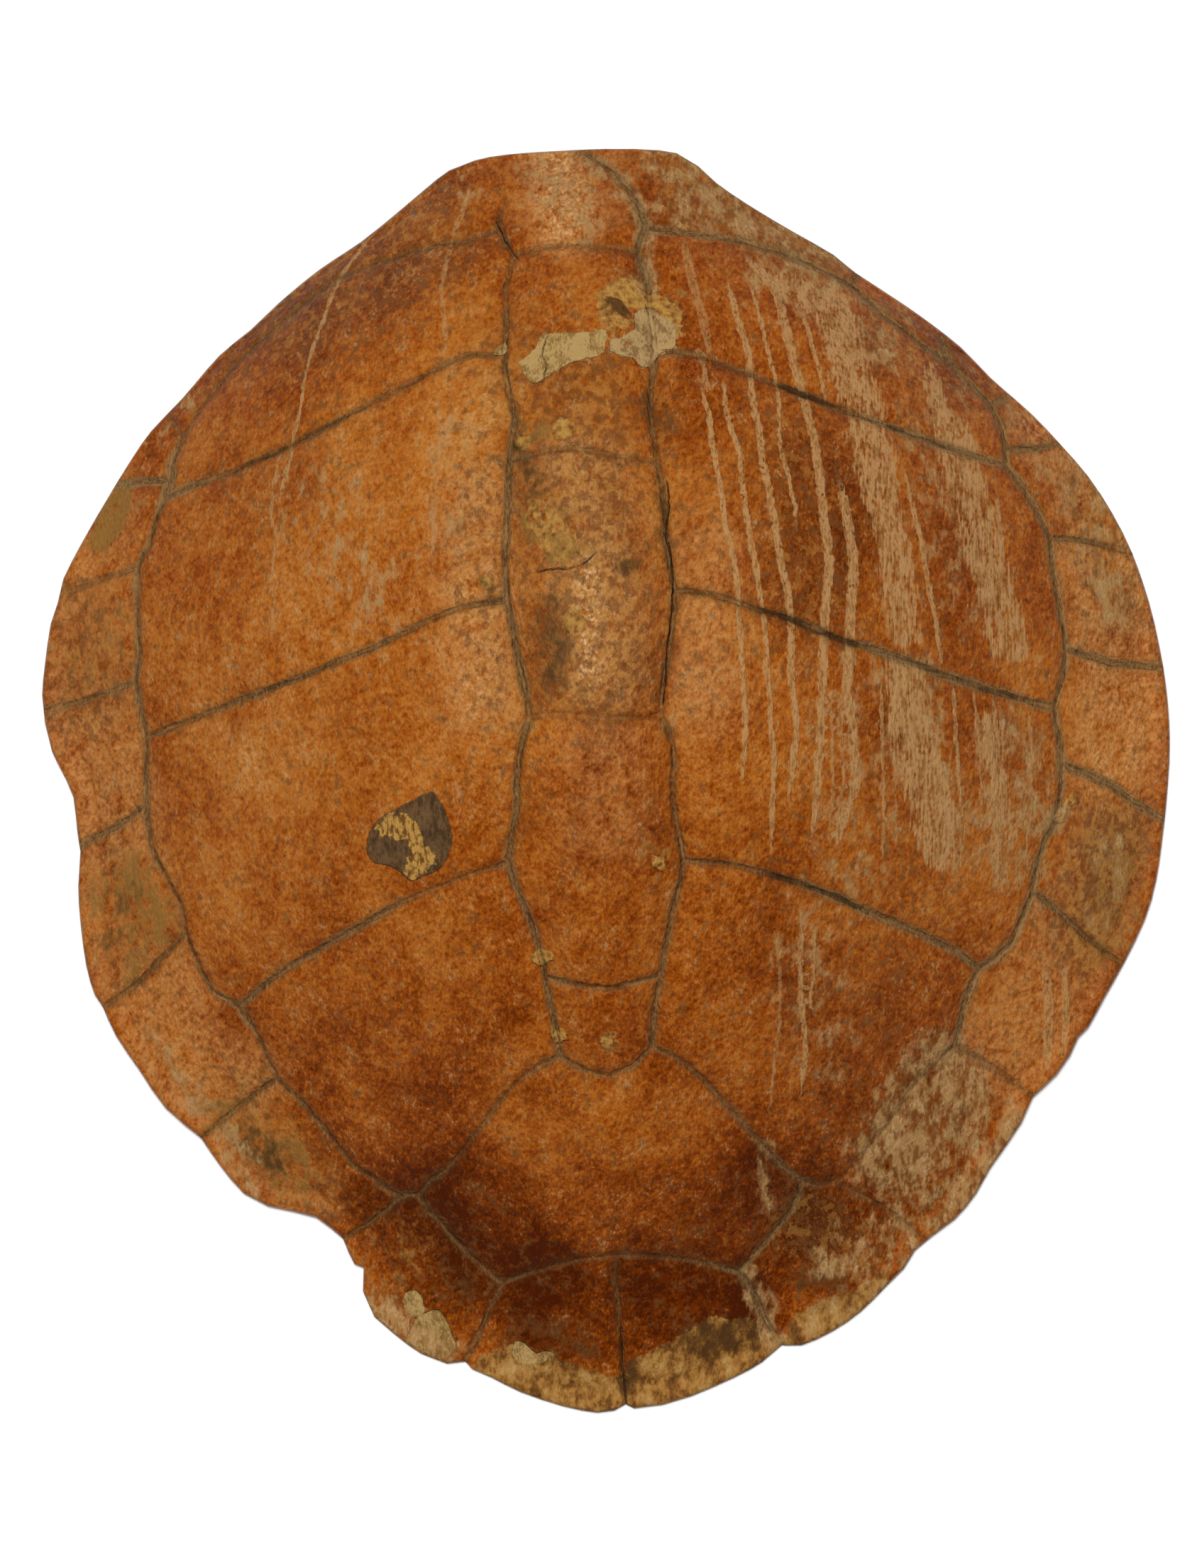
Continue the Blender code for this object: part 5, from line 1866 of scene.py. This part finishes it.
    def seams(self, g: Graph, s: Surface) -> None:
        """Lays on the seams: dusty strands, a thin dark core and grime beside it.

        Args:
            g: the material's nodes.
            s: the surface so far, which this changes.
        """
        seam, dusty, dark, along, offset = (
            g.field(which) for which in (
                Field.SEAM, Field.SEAM_DUST, Field.SEAM_DARK, Field.SEAM_ALONG, Field.SEAM_SIDE,
            )
        )
        clear = g.rest(g.field(Field.SEAM_FAINT))
        shown = g.times(clear, g.rest(s.bare))
        side = g.total(offset, g.swings(s.mottle, 3.0), g.swings(s.wrinkle, 0.8))
        strands = g.strands(along, side, *self.fine_strand)
        broad = g.strands(along, offset, *self.broad_strand)
        wander = g.total(seam, g.swings(broad, 4.0), g.swings(s.wrinkle, 1.4), g.swings(strands, 1.2))
        depth = g.total(0.34, g.times(dark, 0.30), g.swings(broad, 0.5))
        s.lay(g.times(g.step(wander, *self.grime_reach), depth, shown), self.grime)
        width = g.total(1.4, g.times(dusty, 2.6))
        band = g.times(g.step(g.math("SUBTRACT", wander, width), *self.fibre_edge), shown)
        level = g.total(strands, g.swings(s.fleck, 0.35), g.times(dusty, 0.10))
        share = g.times(band, g.total(0.55, g.times(dusty, 0.30)))
        s.lay(share, g.shade(level, 0.34, 0.68, self.fibre_deep, self.fibre))
        line = g.total(seam, g.swings(s.wrinkle, 1.2), g.swings(s.fleck, 0.8))
        depth = g.total(0.30, g.times(dark, 0.5), g.swings(broad, 1.1))
        core = g.times(g.step(line, *self.core_reach), depth, shown)
        depth = g.step(g.total(dark, g.swings(broad, 1.2)), 0.45, 1.0, 0.85)
        black = g.times(g.step(wander, *self.black_reach), depth, shown)
        s.lay(g.most(core, black), self.core)
        s.dull(band, 0.7)
        s.raise_by(g.times(g.step(seam, *self.groove_reach), clear, -0.4))

    def cracks(self, g: Graph, s: Surface) -> None:
        """Lays on the thin cracks.

        Args:
            g: the material's nodes.
            s: the surface so far, which this changes.
        """
        crack, near = g.field(Field.CRACK), g.field(Field.CRACK_NEAR)
        across = g.size(g.total(crack, g.swings(s.wrinkle, 1.6)))
        broken = g.step(s.mottle, 0.34, 0.50, 0.85)
        s.lay(g.times(g.step(across, *self.crack_reach), near, broken), self.core)
        s.raise_by(g.times(g.step(g.size(crack), *self.split_reach), near, -0.6))


@dataclass(frozen=True)
class BoneFinish:
    """The under face: pale old bone, browner in broad patches, horn at the rim."""

    pale: Colour = (0.470, 0.350, 0.200)
    deep: Colour = (0.240, 0.145, 0.065)
    spot: Colour = (0.120, 0.065, 0.028)
    horn: Colour = (0.240, 0.085, 0.020)
    grains: Noise = Noise(1.6, 1.6, 30.0, 3.0, 0.6)
    mottles: Noise = Noise(16.0, 1.2, 0.0, 3.0, 0.6, 19.0)
    broad: Noise = Noise(70.0, 1.0, 0.0, 2.0, 0.5, 47.0)
    pore: tuple[float, float, float] = (3.0, 1.4, 7.0)
    rim_reach: Span = (26.0, 16.0)
    relief: float = 0.5

    def build(self, name: str) -> bpy.types.Material:
        """Makes the material.

        Args:
            name: the material's name.

        Returns:
            The material.
        """
        g = Graph(name)
        grain, mottle, broad = (g.cloud(kind) for kind in (self.grains, self.mottles, self.broad))
        level = g.total(g.times(mottle, 0.6), g.times(broad, 0.5), g.swings(grain, 0.12))
        colour = g.shade(level, 0.36, 0.72, self.deep, self.pale)
        pores = g.step(g.cells(*self.pore), 0.28, 0.12, 0.55)
        colour = g.mix(pores, colour, self.spot)
        rim = g.total(g.field(Field.RIM), g.swings(mottle, 14.0), g.swings(grain, 3.0))
        horn = g.step(rim, *self.rim_reach)
        colour = g.mix(horn, colour, g.mix(grain, self.spot, self.horn))
        roughness = g.blend(horn, g.total(0.62, g.times(grain, 0.2)), 0.5)
        height = g.total(g.times(grain, 0.5), g.times(mottle, 0.4), g.times(pores, -0.8))
        return g.finish(colour, roughness, height, self.relief)


@dataclass(frozen=True)
class PaperFinish:
    """Plain pale paper for the floor."""

    pale: Colour = (0.86, 0.86, 0.855)
    deep: Colour = (0.84, 0.84, 0.835)
    tooth: Noise = Noise(3.0)
    roughness: float = 0.9
    relief: float = 0.1

    def build(self, name: str) -> bpy.types.Material:
        """Makes the material.

        Args:
            name: the material's name.

        Returns:
            The material.
        """
        g = Graph(name)
        tooth = g.cloud(self.tooth)
        return g.finish(g.mix(tooth, self.deep, self.pale), self.roughness, tooth, self.relief)


@dataclass
class Carapace:
    """The whole shell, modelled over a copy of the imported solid's mesh."""

    plan: Plan
    form: Form
    markings: Markings
    cuts: int = 3
    merge: float = 0.00001
    wobble: float = 0.7
    wobble_reach: float = 11.0
    wobble_seeds: tuple[float, float] = (21.0, 33.0)
    grain: float = 0.22
    grain_reach: float = 6.5
    grain_seed: float = 11.0
    edge_fade: Span = (8.0, 14.0)
    rim_near: float = 0.3
    side_least: float = 0.001
    name: str = "carapace_horn"

    def build(self) -> bpy.types.Object:
        """Makes the shell and dresses it.

        Returns:
            The finished object.
        """
        shell = self.copy_node()
        self.refine(shell)
        self.shape(shell)
        self.dress(shell)
        return shell

    def copy_node(self) -> bpy.types.Object:
        """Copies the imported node's mesh and merges it.

        Returns:
            An object with a mesh of its own.
        """
        bpy.ops.object.select_all(action="DESELECT")
        node = frame["nodes"]["carapace"]
        node.select_set(True)
        bpy.context.view_layer.objects.active = node
        bpy.ops.object.duplicate()
        shell = bpy.context.view_layer.objects.active
        bpy.ops.object.parent_clear(type="CLEAR_KEEP_TRANSFORM")
        shell.name = self.name
        shell.data.name = self.name
        shell.data.materials.clear()
        bpy.ops.object.mode_set(mode="EDIT")
        bpy.ops.mesh.select_all(action="SELECT")
        bpy.ops.mesh.customdata_custom_splitnormals_clear()
        bpy.ops.mesh.remove_doubles(threshold=self.merge)
        bpy.ops.object.mode_set(mode="OBJECT")
        return shell

    def plan_of(self, shell: bpy.types.Object) -> tuple[np.ndarray, np.ndarray]:
        """Where the vertices are, in millimetres.

        Args:
            shell: the object.

        Returns:
            Their places in plan, and their heights.
        """
        flat = np.empty(len(shell.data.vertices) * 3)
        shell.data.vertices.foreach_get("co", flat)
        rows = flat.reshape(-1, 3) / MM
        return rows[:, :2] + self.plan.centre, rows[:, 2]

    def sides_of(self, mesh: bpy.types.Mesh) -> np.ndarray:
        """Which face each vertex is on.

        Args:
            mesh: the shell's mesh.

        Returns:
            One value a vertex: 1 on the upper face, -1 on the under face, between them on the rim.
        """
        side = np.empty(len(mesh.vertices), np.float32)
        mesh.attributes["side"].data.foreach_get("value", side)
        near_one = 1 - self.side_least
        return np.where(np.abs(side) > near_one, np.sign(side), side)

    def refine(self, shell: bpy.types.Object) -> None:
        """Notes which side each vertex is on, then cuts every face into smaller ones.

        Args:
            shell: the object.
        """
        points, z = self.plan_of(shell)
        rim = segment_distance(points, self.plan.edge_segs)
        from_top = np.abs(z - self.form.top(points))
        side = np.where(from_top < np.abs(z - self.form.under(points)), 1.0, -1.0)
        side[rim < self.rim_near] = 0.0
        layer = shell.data.attributes.new("side", "FLOAT", "POINT")
        layer.data.foreach_set("value", side.astype(np.float32))
        bpy.ops.object.mode_set(mode="EDIT")
        bpy.ops.mesh.select_all(action="SELECT")
        bpy.ops.mesh.subdivide(number_cuts=self.cuts, smoothness=0.0)
        bpy.ops.mesh.quads_convert_to_tris()
        bpy.ops.object.mode_set(mode="OBJECT")

    def shape(self, shell: bpy.types.Object) -> None:
        """Gives every vertex its place and stores the markings' values.

        Args:
            shell: the object, cut into small faces.
        """
        mesh = shell.data
        points, z = self.plan_of(shell)
        side = self.sides_of(mesh)
        top = side == 1
        under = side == -1
        edge = segment_distance(points, self.plan.edge_segs)
        fade = climb(edge, *self.edge_fade) * top
        grain = self.grain * rough(points, self.grain_reach, self.grain_seed) * fade
        strip = ~top & ~under
        height = z.copy()
        height[top] = self.form.top(points[top]) + grain[top]
        height[under] = self.form.under(points[under])
        height[strip] = self.rounded(points[strip], z[strip], np.abs(side[strip]))
        moved = points + np.column_stack([
            self.wobble * rough(points, self.wobble_reach, seed) * fade for seed in self.wobble_seeds
        ])
        rows = np.column_stack([moved - self.plan.centre, height]) * MM
        mesh.vertices.foreach_set("co", rows.ravel())
        for which, values in self.markings.values(points).items():
            layer = mesh.attributes.new(which.value, "FLOAT", "POINT")
            layer.data.foreach_set("value", values.astype(np.float32))
        mesh.update()
        bpy.ops.object.shade_smooth()

    def rounded(self, points: np.ndarray, z: np.ndarray, share: np.ndarray) -> np.ndarray:
        """The rim's heights, rounded over from the upper to the under face.

        Args:
            points: plan points on the rim.
            z: their heights on the plain rim.
            share: how far each is from the free edge towards a face, from 0 to 1.

        Returns:
            Their heights on the rounded rim.
        """
        share = np.clip(share, self.side_least, 1)
        bearing, _ = self.plan.polar(points)
        middle = self.form.lift(bearing) + self.form.rim_thickness / 2
        return middle + (z - middle) * np.sqrt(1 - (1 - share) ** 2) / share

    def dress(self, shell: bpy.types.Object) -> None:
        """Gives the upper face and rim the horn, and the under face the bone.

        Args:
            shell: the shaped object.
        """
        mesh = shell.data
        mesh.materials.append(HornFinish().build("horn_worn"))
        mesh.materials.append(BoneFinish().build("bone_under"))
        corners = np.empty(len(mesh.polygons) * 3, int)
        mesh.polygons.foreach_get("vertices", corners)
        under = (self.sides_of(mesh)[corners.reshape(-1, 3)] == -1).all(axis=1)
        mesh.polygons.foreach_set("material_index", under.astype(np.int32))
        mesh.attributes.remove(mesh.attributes["side"])
        mesh.update()


@dataclass
class Studio:
    """Pale floor, soft light from above and a camera straight above, as in the photograph."""

    floor_size: float = 160.0
    frame_height: float = 1.105
    camera_height: float = 16.0
    camera_sight: float = 100.0
    sensor: float = 36.0
    aim: Point = (-0.0070, -0.0020)
    sun_height: float = 4.0
    sun_strength: float = 3.6
    sun_angle: float = 16.0
    sun_tilt: Point = (-9.0, -3.0)
    sky: Colour = (1.0, 0.99, 0.975)
    sky_strength: float = 0.14

    def build(self) -> bpy.types.Object:
        """Makes the floor, light, sky and camera.

        Returns:
            The floor.
        """
        self.light()
        self.camera()
        return self.floor()

    def floor(self) -> bpy.types.Object:
        """Makes a very large plain floor.

        Returns:
            The floor.
        """
        bpy.ops.object.select_all(action="DESELECT")
        bpy.ops.mesh.primitive_plane_add(size=self.floor_size)
        floor = bpy.context.active_object
        floor.name = "floor"
        floor.data.materials.append(PaperFinish().build("paper"))
        return floor

    def light(self) -> None:
        """One broad soft light from above the head end, and an even pale sky."""
        bpy.ops.object.select_all(action="DESELECT")
        turn = (math.radians(self.sun_tilt[0]), math.radians(self.sun_tilt[1]), 0)
        bpy.ops.object.light_add(type="SUN", location=(0, 0, self.sun_height), rotation=turn)
        lamp = bpy.context.active_object
        lamp.name = "soft_light"
        lamp.data.energy = self.sun_strength
        lamp.data.angle = math.radians(self.sun_angle)
        world = bpy.data.worlds.new("sky")
        world.use_nodes = True
        shade = world.node_tree.nodes["Background"]
        shade.inputs["Color"].default_value = (*self.sky, 1)
        shade.inputs["Strength"].default_value = self.sky_strength
        bpy.context.scene.world = world

    def camera(self) -> None:
        """A camera straight above, so far away that it sees almost in parallel."""
        bpy.ops.object.select_all(action="DESELECT")
        bpy.ops.object.camera_add(location=(*self.aim, self.camera_height), rotation=(0, 0, 0))
        camera = bpy.context.active_object
        camera.name = "camera"
        camera.data.sensor_width = self.sensor
        camera.data.lens = self.sensor * self.camera_height / self.frame_height
        camera.data.clip_end = self.camera_sight
        scene = bpy.context.scene
        scene.camera = camera
        scene.view_settings.view_transform = "Standard"


def main() -> None:
    """Builds the shell and the studio, and reports each piece."""
    logging.basicConfig(level=logging.INFO, format="%(message)s")
    plan = Plan()
    shell = Carapace(plan, Form(plan), Markings(plan)).build()
    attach(shell, "root")
    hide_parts("carapace")
    log.info("%s: %d triangles", shell.name, len(shell.data.polygons))
    floor = Studio().build()
    log.info("%s: %d faces", floor.name, len(floor.data.polygons))


if __name__ == "__main__":
    main()
